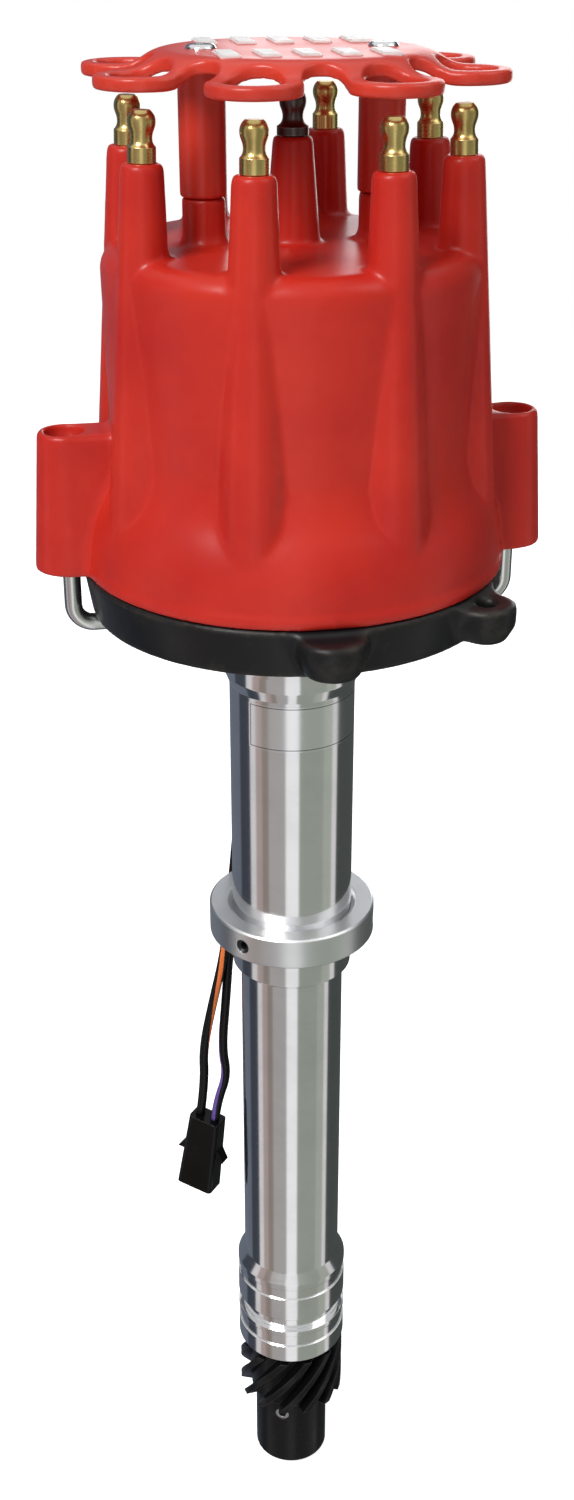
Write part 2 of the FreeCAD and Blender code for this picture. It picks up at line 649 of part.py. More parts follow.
for name in ("one", "two"):
    turn = size(f"lug_{name}_angle")
    tip = size(f"lug_{name}_tip")
    half_foot = size(f"lug_{name}_foot")
    lug_reach = size("base_radius") + size(f"lug_{name}_stand_out")
    gusset = lofted(f"lug_gusset_{name}", [
        (inside_radius, -half_foot), (lug_root, -half_foot), (lug_reach, -half_foot),
        (lug_reach, half_foot), (lug_root, half_foot), (inside_radius, half_foot)], [
        (inside_radius, -half_root), (lug_root, -half_root), (lug_reach, -tip),
        (lug_reach, tip), (lug_root, half_root), (inside_radius, half_root)],
        lug_foot, lug_head)
    place(gusset, turn=turn)
    lug_centres.append((lug_reach * cos(turn), lug_reach * sin(turn)))
    boss = turned(f"lug_boss_{name}", [
        (0, lug_foot),
        (half_foot, lug_foot),
        (tip, lug_knee),
        (tip, lug_head),
        (0, lug_head)])
    lugs += [gusset, place(boss, *lug_centres[-1])]
lug_hole = cylinder("lug_hole", size("lug_hole_radius"), lug_head - lug_foot + 2 * PAST,
                    *lug_centres[-1], lug_foot - PAST)
base_screws = []
base_screw_holes = []
for index, turn in enumerate(spokes(size("base_screw_count"), size("base_screw_angle"))):
    across = size("base_screw_circle") * cos(turn)
    along = size("base_screw_circle") * sin(turn)
    stem = cylinder(f"base_screw_stem_{index}", size("base_screw_radius"),
                    size("base_screw_length"), across, along,
                    base_inside - size("base_screw_length"))
    head = cylinder(f"base_screw_head_{index}", size("base_screw_head"),
                    size("base_screw_head_height"), across, along, base_inside)
    base_screws.append(joined(f"base_screw_{index}", [stem, head]))
    base_screw_holes.append(cylinder(f"base_ring_hole_{index}", size("base_screw_radius"),
                                     size("base_floor"), across, along, base_foot))
grommet_x = size("grommet_x")
grommet_y = size("grommet_y")
grommet_neck = size("grommet_radius") - size("grommet_groove")
grommet_hole = cylinder("grommet_hole", grommet_neck, size("base_floor"), grommet_x, grommet_y,
                        base_foot)
ring_solid = joined("base_ring_solid", [ring] + lugs)
node("base_ring", cut("base_ring_cut", ring_solid,
                      [lug_hole] + base_screw_holes + [grommet_hole]))
node("base_screws", group("base_screw_group", base_screws))

# Grommet that the two leads leave by, snapped into the base ring's floor.
flange = size("grommet_flange")
flange_tip = size("grommet_radius") - size("grommet_taper")
grommet_body = turned("grommet_body", [
    (0, base_foot - flange),
    (flange_tip, base_foot - flange),
    (size("grommet_radius"), base_foot),
    (grommet_neck, base_foot),
    (grommet_neck, base_inside),
    (size("grommet_radius"), base_inside),
    (flange_tip, base_inside + flange),
    (0, base_inside + flange)])
place(grommet_body, grommet_x, grommet_y)
flange_room = cylinder("flange_room", size("flange_radius") + size("running_clearance"),
                       size("flange_thickness"), z=flange_foot)
node("lead_grommet", cut("grommet_cut", grommet_body, [flange_room]))

# Cap: a moulded shell whose skirt flares to the rim. Eight leaning towers run down its wall as
# ribs and die out on the flare; two bosses carry the wire retainer, and two ears the latches.
rim_head = base_rim + size("rim_band")
skirt_radius = size("base_radius") - size("skirt_step")
skirt_top = base_rim + size("skirt_height")
shoulder_radius = size("base_radius") - size("shoulder_step")
shoulder = base_rim + size("shoulder_height")
wall_foot_radius = size("base_radius") - size("flare_step")
wall_foot = base_rim + size("flare_height")
corner = size("cap_corner")
wall = size("cap_wall")
skirt_inside = size("base_radius") - size("rim_step")
shell = turned("cap_shell", [
    (0, base_rim),
    (size("base_radius"), base_rim),
    (size("base_radius"), rim_head),
    (skirt_inside, rim_head + size("rim_step")),
    (skirt_radius, skirt_top, size("skirt_round")),
    (shoulder_radius, shoulder, size("shoulder_round")),
    (wall_foot_radius, wall_foot, -size("flare_round")),
    (wall_radius, plateau - corner),
    (wall_radius - corner, plateau, corner),
    (0, plateau)])
lip_room = lip_radius + size("lip_clearance")
ceiling_round = size("ceiling_round")
cavity = turned("cap_cavity", [
    (0, base_rim),
    (lip_room, base_rim),
    (lip_room, base_rim + size("lip_height") + size("lip_relief")),
    (skirt_radius - wall, skirt_top, size("skirt_round")),
    (shoulder_radius - wall, shoulder, size("shoulder_round")),
    (wall_foot_radius - wall, wall_foot, -size("flare_round")),
    (wall_radius - wall, ceiling - ceiling_round),
    (wall_radius - wall - ceiling_round, ceiling, ceiling_round),
    (0, ceiling)])
tower_foot_radius = size("tower_tip_radius") + size("tower_length") * tan(size("tower_taper_angle"))
rounding = size("tower_round")
towers = []
for index, turn in enumerate(spokes(size("tower_count"), size("first_tower_angle"))):
    tower = turned(f"tower_{index}", [
        (0, -size("tower_length")),
        (tower_foot_radius, -size("tower_length")),
        (size("tower_tip_radius"), -rounding),
        (size("tower_tip_radius") - rounding, 0, rounding),
        (0, 0)], x=tower_circle, z=tower_top, lean=size("tower_lean_angle"))
    towers.append(place(tower, turn=turn))
rib_limit = cylinder("rib_limit", skirt_inside, tower_top + PAST - base_rim, z=base_rim)
ribs = doc.addObject("Part::Common", "ribs")
ribs.Base = joined("tower_ring", towers)
ribs.Tool = rib_limit
centre_tower = turned("centre_tower", [
    (0, plateau - wall),
    (size("centre_tower_foot"), plateau - wall),
    (size("centre_tower_tip"), centre_top - rounding),
    (size("centre_tower_tip") - rounding, centre_top, rounding),
    (0, centre_top)])
bosses = []
boss_bores = []
for index, turn in enumerate(spokes(2)):
    across = size("post_circle") * cos(turn)
    along = size("post_circle") * sin(turn)
    bosses.append(place(turned(f"post_boss_{index}", [
        (0, plateau - wall),
        (size("post_boss_foot"), plateau - wall),
        (size("post_boss_foot"), plateau),
        (size("post_boss_radius"), plateau + size("post_fillet_height"),
         -size("post_fillet")),
        (size("post_boss_radius"), post_joint),
        (0, post_joint)]), across, along))
    boss_bores.append(cylinder(f"post_bore_{index}", size("retainer_screw_radius"),
                                size("retainer_screw_sink") + PAST, across, along,
                               post_joint - size("retainer_screw_sink")))
ear_foot = base_rim + size("ear_lift")
ear_bore_foot = ear_foot + size("ear_floor")
ear_head = ear_foot + size("ear_height")
ear_side_head = ear_head - size("ear_round")
ear_rim = size("ear_radius") - size("ear_round")
web_start = wall_foot_radius - wall


def web_ends(half_width):
    """Corners of an ear's web, from inside the cap's wall to the ear's own axis."""
    return [(web_start, -half_width), (ear_circle, -half_width), (ear_circle, half_width),
            (web_start, half_width)]


ears = []
ear_bores = []
for index, turn in enumerate(spokes(2)):
    across = ear_circle * cos(turn)
    along = ear_circle * sin(turn)
    ears.append(place(turned(f"ear_{index}", [
        (0, ear_foot),
        (size("ear_foot_radius"), ear_foot),
        (size("ear_radius"), ear_side_head),
        (ear_rim, ear_head, size("ear_round")),
        (0, ear_head)]), across, along))
    ears.append(place(lofted(f"ear_web_{index}", web_ends(size("ear_foot_radius")),
                             web_ends(size("ear_radius")), ear_foot, ear_side_head), turn=turn))
    ears.append(place(lofted(f"ear_web_head_{index}", web_ends(size("ear_radius")),
                             web_ends(ear_rim), ear_side_head, ear_head), turn=turn))
    ear_bores.append(cylinder(f"ear_bore_{index}", size("ear_bore_radius"), size("ear_height"),
                              across, along, ear_bore_foot))
    ear_bores.append(cylinder(f"rod_hole_{index}",
                              size("rod_radius") + size("rod_hole_clearance"),
                              size("ear_floor") + 2 * PAST, across, along, ear_foot - PAST))

# Terminals: eight brass studs moulded into the towers, their contacts hanging under the ceiling.
def stud_head(foot_radius, foot, head):
    """The upper half of a stud's profile: a straight foot, a waist and a rounded bulge."""
    waist = size("stud_neck_radius")
    bulge = size("stud_bulge_radius")
    waist_height = head - size("stud_neck_drop")
    bulge_height = head - size("stud_bulge_drop")
    middle = (waist + bulge) / 2
    middle_height = (waist_height + bulge_height) / 2
    ease = arc_radius(middle - waist, middle_height - waist_height)
    return [
        (foot_radius, foot),
        (waist, waist_height, -arc_radius(foot_radius - waist, waist_height - foot)),
        (middle, middle_height, -ease),
        (bulge, bulge_height, ease),
        (size("stud_tip_radius"), head,
         arc_radius(bulge - size("stud_tip_radius"), head - bulge_height)),
        (0, head)]


contact_foot = ceiling - size("contact_drop") - tower_top
studs = []
cores = []
for index, turn in enumerate(spokes(size("tower_count"), size("first_tower_angle"))):
    stud = turned(f"stud_{index}", [
        (0, contact_foot),
        (size("stud_core_radius"), contact_foot),
        (size("stud_core_radius"), 0),
        (size("stud_collar_radius"), 0)]
        + stud_head(size("stud_collar_radius"), size("stud_height") - size("stud_collar_drop"),
                    size("stud_height")),
        x=tower_circle, z=tower_top, lean=size("tower_lean_angle"))
    studs.append(place(stud, turn=turn))
    core = turned(f"stud_core_{index}", [
        (0, contact_foot),
        (size("stud_core_radius"), contact_foot),
        (size("stud_core_radius"), PAST),
        (0, PAST)], x=tower_circle, z=tower_top, lean=size("tower_lean_angle"))
    cores.append(place(core, turn=turn))
centre_core = cylinder("centre_core", size("stud_core_radius"),
                       centre_top - ceiling + 2 * PAST, z=ceiling - PAST)
button_boss_foot = ceiling - size("button_length")
button_boss = cylinder("button_boss", size("button_boss_radius"), size("button_length") + PAST,
                       z=button_boss_foot)
button_bore_radius = size("button_radius") + size("button_clearance")
button_bore = cylinder("button_bore", button_bore_radius, size("button_length"),
                       z=button_boss_foot)
outer_form = joined("cap_outer", [shell, ribs, centre_tower] + bosses + ears)
hollow = cut("cap_hollow", outer_form, [cavity])
with_boss = joined("cap_with_boss", [hollow, button_boss])
node("cap", cut("cap_cut", with_boss, ear_bores + boss_bores + cores + [centre_core, button_bore]))
node("cap_terminals", group("studs", studs))
node("centre_terminal", turned("centre_stud", [
    (0, ceiling),
    (size("stud_core_radius"), ceiling),
    (size("stud_core_radius"), centre_top),
    (size("centre_flange_radius"), centre_top)]
    + stud_head(size("centre_flange_radius"), centre_top + size("centre_flange_height"),
                centre_top + size("centre_stud_height"))))

# Carbon button that the centre terminal feeds the rotor through, with the spring behind it.
blade_head = base_inside + size("carrier_height") + size("carrier_thickness")
blade_head = blade_head + size("rotor_stand_off") + size("rotor_disc_thickness")
blade_head = blade_head + size("rotor_hub_height") + size("rotor_arm_height")
blade_head = blade_head + size("blade_thickness")
button_foot = blade_head + size("button_gap")
button_top = button_boss_foot + size("button_length") / 2
node("carbon_button", cylinder("button", size("button_radius"), button_top - button_foot,
                               z=button_foot))


def coil(label, radius, wire, foot, head, turns, x=0, y=0):
    """A spring of round wire, wound upwards between two heights."""
    rise = (head.value - foot.value - 2 * wire.value) / turns
    helix = Part.makeHelix(rise, rise * turns, radius.value)
    start = FreeCAD.Vector(radius.value, 0, 0)
    ring_edge = Part.makeCircle(wire.value, start, FreeCAD.Vector(0, 1, 0))
    shape = Part.Wire(helix).makePipeShell([Part.Wire(ring_edge)], True, True)
    spring = doc.addObject("Part::Feature", label)
    spring.Shape = shape
    return place(spring, x, y, foot + wire)


node("button_spring", coil("button_coil", size("button_radius") - size("button_spring_inset"),
                           size("button_spring_wire"),
                           button_top, ceiling, int(size("button_spring_turns").value)))

# Hold-down latches: a sprung rod in each ear. It is pressed down with a screwdriver and turned, and
# its hook then catches under the base ring.
ear_head = ear_foot + size("ear_height")
latch_head_top = ear_head - size("latch_head_sink")
latch_head_foot = latch_head_top - size("latch_head_height")
bend = size("rod_bend")
hook_reach = size("base_radius") - size("base_taper") - size("hook_catch")
hook_height = base_foot - size("rod_radius") - size("hook_gap")
washer_foot = latch_head_foot - size("latch_washer_thickness")
for side, turn in (("right", 0), ("left", 180)):
    across = ear_circle * cos(turn)
    stem = cylinder(f"rod_stem_{side}", size("rod_radius"), latch_head_foot - hook_height - bend,
                    z=hook_height + bend)
    elbow = doc.addObject("Part::Torus", f"rod_elbow_{side}")
    bind(elbow, Radius1=bend, Radius2=size("rod_radius"))
    elbow.Angle3 = 90
    downwards = FreeCAD.Rotation(FreeCAD.Vector(1, 0, 0), -90)
    elbow.Placement = FreeCAD.Placement(FreeCAD.Vector(0, 0, 0), downwards)
    bind(elbow, Placement__Base__x=-bend, Placement__Base__z=hook_height + bend)
    hook = lying(f"rod_hook_{side}", size("rod_radius"), ear_circle - bend - hook_reach,
                 hook_reach - ear_circle, hook_height, 0)
    rod = place(joined(f"rod_bent_{side}", [stem, elbow, hook]), across, turn=turn)
    head = cylinder(f"latch_head_{side}", size("latch_head_radius"), size("latch_head_height"),
                    across, 0, latch_head_foot)
    slot = block(f"latch_slot_{side}", 2 * size("latch_head_radius") + 2 * PAST,
                 size("latch_slot_width"), size("latch_slot_depth") + PAST,
                 across - size("latch_head_radius") - PAST, 0,
                 latch_head_top - size("latch_slot_depth"))
    rod_solid = joined(f"latch_solid_{side}", [rod, head])
    node(f"latch_rod_{side}", cut(f"latch_cut_{side}", rod_solid, [slot]))
    washer_bore = size("rod_radius") + size("rod_hole_clearance")
    node(f"latch_washer_{side}", place(turned(f"latch_ring_{side}", [
        (washer_bore, washer_foot), (size("latch_head_radius"), washer_foot),
        (size("latch_head_radius"), latch_head_foot), (washer_bore, latch_head_foot)]), across))
    node(f"latch_spring_{side}", coil(
        f"latch_coil_{side}",
        size("latch_head_radius") - size("latch_spring_wire") - size("latch_spring_gap"),
        size("latch_spring_wire"), ear_bore_foot, washer_foot,
        int(size("latch_spring_turns").value), across))

# Wire retainer: a moulded crown with a loop over each tower, screwed to two posts on the cap. Its
# flat disc curves down to the loops, and round scallops lead from each loop to the next.
droop = size("retainer_droop")
edge = size("retainer_edge")
slope_start = size("retainer_disc")
loop_circle = tower_circle + size("loop_shift")
reach = loop_circle + size("loop_radius") + size("retainer_margin")
slope_middle = (slope_start + size("retainer_slope_end")) / 2
slope_round = arc_radius(droop / 2, slope_middle - slope_start)
crown = turned("crown", [
    (0, retainer_under),
    (slope_start, retainer_under),
    (slope_middle, retainer_under - droop / 2, -slope_round),
    (size("retainer_slope_end"), retainer_under - droop, slope_round),
    (reach, retainer_under - droop),
    (reach + edge, retainer_under - droop + edge, edge),
    (reach + edge, retainer_top - droop - edge),
    (reach, retainer_top - droop, edge),
    (size("retainer_slope_end"), retainer_top - droop),
    (slope_middle, retainer_top - droop / 2, -slope_round),
    (slope_start, retainer_top, slope_round),
    (0, retainer_top)])
half_step = 180 / size("loop_count")
along_step = loop_circle * cos(half_step)
across_step = loop_circle * sin(half_step)
spare = size("scallop_depth") - along_step
loop_square = size("loop_radius") * size("loop_radius")
scallop_radius = ((spare * spare + across_step * across_step - loop_square)
                  / (2 * (size("loop_radius") - spare)))
scallop_circle = size("scallop_depth") + scallop_radius
share = size("loop_radius") / (size("loop_radius") + scallop_radius)
touch_along = along_step + (scallop_circle - along_step) * share
touch_across = across_step - across_step * share
cut_foot = retainer_under - droop - PAST
cut_height = size("retainer_thickness") + droop + 2 * PAST
web_disc = cylinder("retainer_web", root(touch_along * touch_along + touch_across * touch_across),
                    cut_height, z=cut_foot)
scallops = []
for index, turn in enumerate(spokes(size("loop_count"), size("first_tower_angle") + half_step)):
    scallops.append(cylinder(f"scallop_{index}", scallop_radius, cut_height,
                             scallop_circle * cos(turn), scallop_circle * sin(turn), cut_foot))
loop_forms = [cut("retainer_web_cut", web_disc, scallops)]
loop_holes = []
for index, turn in enumerate(spokes(size("loop_count"), size("first_tower_angle"))):
    loop_forms.append(cylinder(f"loop_{index}", size("loop_radius"), cut_height,
                               loop_circle * cos(turn), loop_circle * sin(turn), cut_foot))
    for end, way in (("in", -1), ("out", 1)):
        place_now = loop_circle + way * size("loop_hole_stretch")
        loop_holes.append(cylinder(f"loop_hole_{end}_{index}", size("loop_hole_radius"),
                                   cut_height, place_now * cos(turn), place_now * sin(turn),
                                   cut_foot))
flower = joined("flower", loop_forms)
plate = doc.addObject("Part::Common", "retainer_plate")
plate.Base = crown
plate.Tool = flower
retainer_posts = []
post_bores = []
retainer_screws = []
for index, turn in enumerate(spokes(2)):
    across = size("post_circle") * cos(turn)
    retainer_posts.append(cylinder(f"retainer_post_{index}", size("retainer_post_radius"),
                                   retainer_under - post_joint + size("retainer_post_sink"),
                                   across, 0, post_joint))
    post_bores.append(cylinder(f"retainer_bore_{index}", size("retainer_screw_radius"),
                               retainer_top - post_joint + 2 * PAST, across, 0,
                               post_joint - PAST))
    stem_foot = post_joint - size("retainer_screw_sink")
    stem = cylinder(f"retainer_stem_{index}", size("retainer_screw_radius"),
                    retainer_top - stem_foot, across, 0, stem_foot)
    head = turned(f"retainer_head_{index}", [
        (0, retainer_top),
        (size("retainer_screw_head"), retainer_top),
        (size("retainer_screw_head") - size("retainer_screw_dome"),
         retainer_top + size("retainer_screw_head_height"), size("retainer_screw_dome_round")),
        (0, retainer_top + size("retainer_screw_head_height"))])
    place(head, across)
    hex_tool = doc.addObject("Part::Prism", f"retainer_hex_{index}")
    bind(hex_tool, Circumradius=size("screw_hex_radius"), Height=size("screw_hex_depth") + PAST)
    hex_tool.Polygon = 6
    place(hex_tool, across, 0,
          retainer_top + size("retainer_screw_head_height") - size("screw_hex_depth"))
    screw = joined(f"retainer_screw_{index}", [stem, head])
    retainer_screws.append(cut(f"retainer_screw_cut_{index}", screw, [hex_tool]))
retainer_solid = joined("retainer_solid", [plate] + retainer_posts)
node("wire_retainer", cut("retainer_cut", retainer_solid, loop_holes + post_bores))
node("retainer_screws", group("retainer_screw_group", retainer_screws))

# Pickup: a steel plate on the base ring's floor, with a magnetic pole piece and its coil standing
# just outside the reluctor's teeth.
plate_head = base_inside + size("pickup_plate_thickness")
plate_radius = inside_radius - size("pickup_plate_gap")
pickup_plate = turned("pickup_plate_ring", [
    (size("pickup_plate_bore"), base_inside), (plate_radius, base_inside),
    (plate_radius, plate_head), (size("pickup_plate_bore"), plate_head)])
pickup_angle = size("pickup_angle")
pickup_screw_places = []
for way in (-1, 1):
    aside = size("pickup_screw_spread")
    pickup_screw_places.append((
        size("pickup_screw_circle") * cos(pickup_angle) - way * aside * sin(pickup_angle),
        size("pickup_screw_circle") * sin(pickup_angle) + way * aside * cos(pickup_angle)))
pole_height = base_inside + size("pickup_axis")
pole_start = size("reluctor_radius") + size("pickup_gap")
coil_start = pole_start + size("coil_stand_off")
bracket_start = coil_start + size("coil_length")
foot_head = plate_head + size("bracket_thickness")
pole = lying("pole_rod", size("pole_radius"), bracket_start - pole_start, pole_start, pole_height,
             pickup_angle)
upright = block("pole_upright", size("bracket_thickness"), size("bracket_width"),
                pole_height + size("pole_radius") + size("bracket_rise") - plate_head,
                bracket_start * cos(pickup_angle), bracket_start * sin(pickup_angle), plate_head,
                pickup_angle)
foot_start = bracket_start + size("bracket_thickness") - size("bracket_foot")
foot = block("pole_foot", size("bracket_foot"), size("bracket_foot_width"),
             size("bracket_thickness"), foot_start * cos(pickup_angle),
             foot_start * sin(pickup_angle), plate_head, pickup_angle)
pickup_holes = []
plate_holes = []
pickup_screws = []
for index, (across, along) in enumerate(pickup_screw_places):
    pickup_holes.append(cylinder(f"pickup_hole_{index}",
                                 size("pickup_screw_radius") + size("pickup_screw_clearance"),
                                 size("bracket_thickness"), across, along, plate_head))
    plate_holes.append(cylinder(f"plate_hole_{index}", size("pickup_screw_radius"),
                                size("pickup_plate_thickness"), across, along, base_inside))
    stem = cylinder(f"pickup_stem_{index}", size("pickup_screw_radius"), foot_head - base_inside,
                    across, along, base_inside)
    head = cylinder(f"pickup_head_{index}", size("pickup_screw_head"),
                    size("pickup_screw_head_height"), across, along, foot_head)
    pickup_screws.append(joined(f"pickup_screw_{index}", [stem, head]))
room_height = size("pickup_plate_thickness") + 2 * PAST
grommet_room = cylinder("grommet_room", size("grommet_radius") + size("grommet_clearance"),
                        room_height, grommet_x, grommet_y, base_inside - PAST)
screw_rooms = []
for index, turn in enumerate(spokes(size("base_screw_count"), size("base_screw_angle"))):
    screw_rooms.append(cylinder(f"screw_room_{index}",
                                size("base_screw_head") + size("screw_head_clearance"),
                                room_height, size("base_screw_circle") * cos(turn),
                                size("base_screw_circle") * sin(turn), base_inside - PAST))
node("pickup_plate", cut("pickup_plate_cut", pickup_plate,
                         plate_holes + screw_rooms + [grommet_room]))
node("pickup_pole", cut("pickup_pole_cut", joined("pole_solid", [pole, upright, foot]),
                        pickup_holes))
coil_solid = lying("coil_solid", size("coil_radius"), size("coil_length"), coil_start,
                   pole_height, pickup_angle)
coil_bore = lying("coil_bore", size("pole_radius"), size("coil_length"), coil_start, pole_height,
                  pickup_angle)
node("pickup_coil", cut("coil_cut", coil_solid, [coil_bore]))
node("pickup_screws", group("pickup_screw_group", pickup_screws))

# Advance carrier: a sleeve that turns on the shaft, with the plate that carries the two weights.
sleeve_foot = bearing_head + size("snap_ring_thickness") + size("sleeve_foot")
carrier_foot = base_inside + size("carrier_height")
carrier_head = carrier_foot + size("carrier_thickness")
sleeve = turned("carrier_sleeve", [
    (bore, sleeve_foot), (size("sleeve_radius"), sleeve_foot),
    (size("sleeve_radius"), carrier_head), (bore, carrier_head)])
carrier_disc = turned("carrier_disc", [
    (bore, carrier_foot), (size("carrier_radius"), carrier_foot),
    (size("carrier_radius"), carrier_head), (bore, carrier_head)])
pins = []
pin_holes = []
for index, turn in enumerate(spokes(2, size("weight_pin_angle"))):
    across = size("weight_pin_circle") * cos(turn)
    along = size("weight_pin_circle") * sin(turn)
    pins.append(cylinder(f"weight_pin_{index}", size("weight_pin_radius"),
                         size("carrier_thickness") + size("weight_pin_height"), across, along,
                         carrier_foot))
    pin_holes.append(cylinder(f"weight_pin_hole_{index}", size("weight_pin_radius"),
                              size("carrier_thickness"), across, along, carrier_foot))
rotor_foot = carrier_head + size("rotor_stand_off")
disc_head = rotor_foot + size("rotor_disc_thickness")
rotor_screw_holes = []
rotor_posts = []
rotor_screws = []
for index, turn in enumerate(spokes(2, size("weight_pin_angle") + 90)):
    across = size("rotor_post_circle") * cos(turn)
    along = size("rotor_post_circle") * sin(turn)
    rotor_screw_holes.append(cylinder(f"rotor_screw_hole_{index}", size("rotor_screw_radius"),
                                      disc_head - carrier_foot + 2 * PAST, across, along,
                                      carrier_foot - PAST))
    rotor_posts.append(cylinder(f"rotor_post_{index}", size("rotor_post_radius"),
                                disc_head - carrier_head, across, along, carrier_head))
    stem = cylinder(f"rotor_stem_{index}", size("rotor_screw_radius"), disc_head - carrier_foot,
                    across, along, carrier_foot)
    head = cylinder(f"rotor_head_{index}", size("rotor_screw_head"),
                    size("rotor_screw_head_height"), across, along, disc_head)
    rotor_screws.append(joined(f"rotor_screw_{index}", [stem, head]))
node("weight_carrier", cut("carrier_cut", joined("carrier_solid", [sleeve, carrier_disc]),
                           pin_holes + rotor_screw_holes))
node("weight_pins", group("weight_pin_group", pins))
node("rotor_screws", group("rotor_screw_group", rotor_screws))

# Reluctor: a toothed steel wheel on the sleeve, one tooth for each cylinder.
reluctor = new_body("reluctor_wheel")
wheel = new_sketch(reluctor, "reluctor_profile")
wheel_foot = pole_height - size("reluctor_thickness") / 2
wheel_head = pole_height + size("reluctor_thickness") / 2
outline(wheel, [
    (size("sleeve_radius"), wheel_foot), (size("reluctor_root"), wheel_foot),
    (size("reluctor_root"), wheel_head), (size("sleeve_radius"), wheel_head)])
wheel_turn = reluctor.newObject("PartDesign::Revolution", "reluctor_turn")
wheel_turn.Profile = wheel
wheel_turn.ReferenceAxis = (wheel, ["V_Axis"])
wheel_turn.Angle = 360
tooth_outline = new_sketch(reluctor, "reluctor_tooth_outline", plane="XY_Plane", z=wheel_foot)
half_tooth = size("reluctor_tooth") / 2
half_root = half_tooth + size("tooth_root_flare")
tooth_start = size("reluctor_root") - size("tooth_root_flare")
outline(tooth_outline, [
    (tooth_start, -half_root), (size("reluctor_radius"), -half_tooth),
    (size("reluctor_radius"), half_tooth), (tooth_start, half_root)])
wheel_tooth = reluctor.newObject("PartDesign::Pad", "reluctor_tooth_pad")
wheel_tooth.Profile = tooth_outline
bind(wheel_tooth, Length=size("reluctor_thickness"))
wheel_tooth.Refine = False
patterned(reluctor, wheel_tooth, size("reluctor_teeth"))
node("reluctor", place(reluctor, turn=pickup_angle))

# Cam on the shaft's head, and the two weights that push round it as the speed rises.
cam_foot = carrier_head + size("weight_gap")
cam_disc = turned("cam_disc", [
    (size("shaft_radius"), cam_foot), (size("cam_radius"), cam_foot),
    (size("cam_radius"), cam_foot + size("cam_thickness")),
    (size("shaft_radius"), cam_foot + size("cam_thickness"))])
cam_trim = block("cam_trim", 2 * size("cam_radius"), 2 * size("cam_half_width"),
                 size("cam_thickness"), -size("cam_radius"), 0, cam_foot)
cam = doc.addObject("Part::Common", "cam_form")
cam.Base = cam_disc
cam.Tool = cam_trim
node("advance_cam", cam)
weight_head = cam_foot + size("weight_thickness")
heel = size("weight_heel_angle")
sweep = size("weight_sweep_angle")
inner = size("weight_inner")
outer = size("weight_outer")
for side, turn in zip(("one", "two"), spokes(2, size("weight_pin_angle"))):
    form = padded(f"weight_form_{side}", [
        (inner * cos(heel), -inner * sin(heel)),
        (outer * cos(heel), -outer * sin(heel)),
        (outer * cos(heel), outer * sin(heel), outer),
        (outer * cos(sweep), outer * sin(sweep), outer),
        (inner * cos(sweep), inner * sin(sweep)),
        (inner * cos(heel), inner * sin(heel), -inner)], size("weight_thickness"))
    place(form, z=cam_foot, turn=turn)
    across = size("weight_pin_circle") * cos(turn)
    along = size("weight_pin_circle") * sin(turn)
    hole = cylinder(f"weight_hole_{side}", size("weight_pin_radius") + size("running_clearance"),
                    size("weight_thickness") + 2 * PAST, across, along, cam_foot - PAST)
    node(f"advance_weight_{side}", cut(f"weight_cut_{side}", form, [hole]))

# Rotor: a moulded disc over the weights, with a hub up to the brass blade that feeds each contact.
hub_head = disc_head + size("rotor_hub_height")
rotor_turned = turned("rotor_turned", [
    (0, rotor_foot + size("rotor_recess")),
    (size("rotor_hub_foot") - size("rotor_recess_inset"), rotor_foot),
    (size("rotor_disc_radius"), rotor_foot),
    (size("rotor_disc_radius"), disc_head),
    (size("rotor_hub_foot"), disc_head),
    (size("rotor_hub_top"), hub_head),
    (0, hub_head)])
contact_reach = tower_circle + (tower_top - blade_head) * tan(size("tower_lean_angle"))
blade_tip = contact_reach - size("stud_core_radius") - size("rotor_gap")
rotor_turn = size("first_tower_angle") - 360 / size("tower_count")
arm = block("rotor_arm", blade_tip - size("blade_overhang") + size("rotor_hub_top"),
            size("rotor_arm_width"), size("rotor_arm_height"),
            -size("rotor_hub_top") * cos(rotor_turn), -size("rotor_hub_top") * sin(rotor_turn),
            hub_head, rotor_turn)
blade_start = -size("button_radius") - size("blade_tail")
blade = block("blade", blade_tip - blade_start, size("blade_width"), size("blade_thickness"),
              blade_start * cos(rotor_turn), blade_start * sin(rotor_turn),
              blade_head - size("blade_thickness"), rotor_turn)
node("rotor", cut("rotor_cut", joined("rotor_solid", [rotor_turned, arm] + rotor_posts),
                  rotor_screw_holes))
node("rotor_blade", blade)

# Leads: two insulated wires that hang from the grommet, behind the housing, to their connector.
LEAD_ROUTES = {
    "striped_lead_orange": [
        (-8.4, 33.2, 219.9), (-8.4, 33.2, 205.0), (-8.6, 30.6, 180.0), (-9.3, 27.7, 155.0),
        (-12.1, 25.1, 130.0), (-15.4, 22.7, 104.0), (-19.4, 21.4, 88.0), (-22.8, 20.8, 72.0),
        (-22.7, 19.6, 60.6), (-24.2, 19.9, 48.7)],
    "striped_lead_violet": [
        (-4.5, 34.3, 219.9), (-4.5, 34.3, 204.0), (-5.2, 31.3, 179.0), (-6.1, 28.8, 154.0),
        (-9.1, 27.0, 129.0), (-13.7, 25.6, 103.6), (-15.4, 22.2, 88.6), (-17.2, 20.5, 71.5),
        (-16.0, 18.7, 63.0), (-19.4, 16.7, 55.1), (-20.2, 16.8, 48.7)],
}


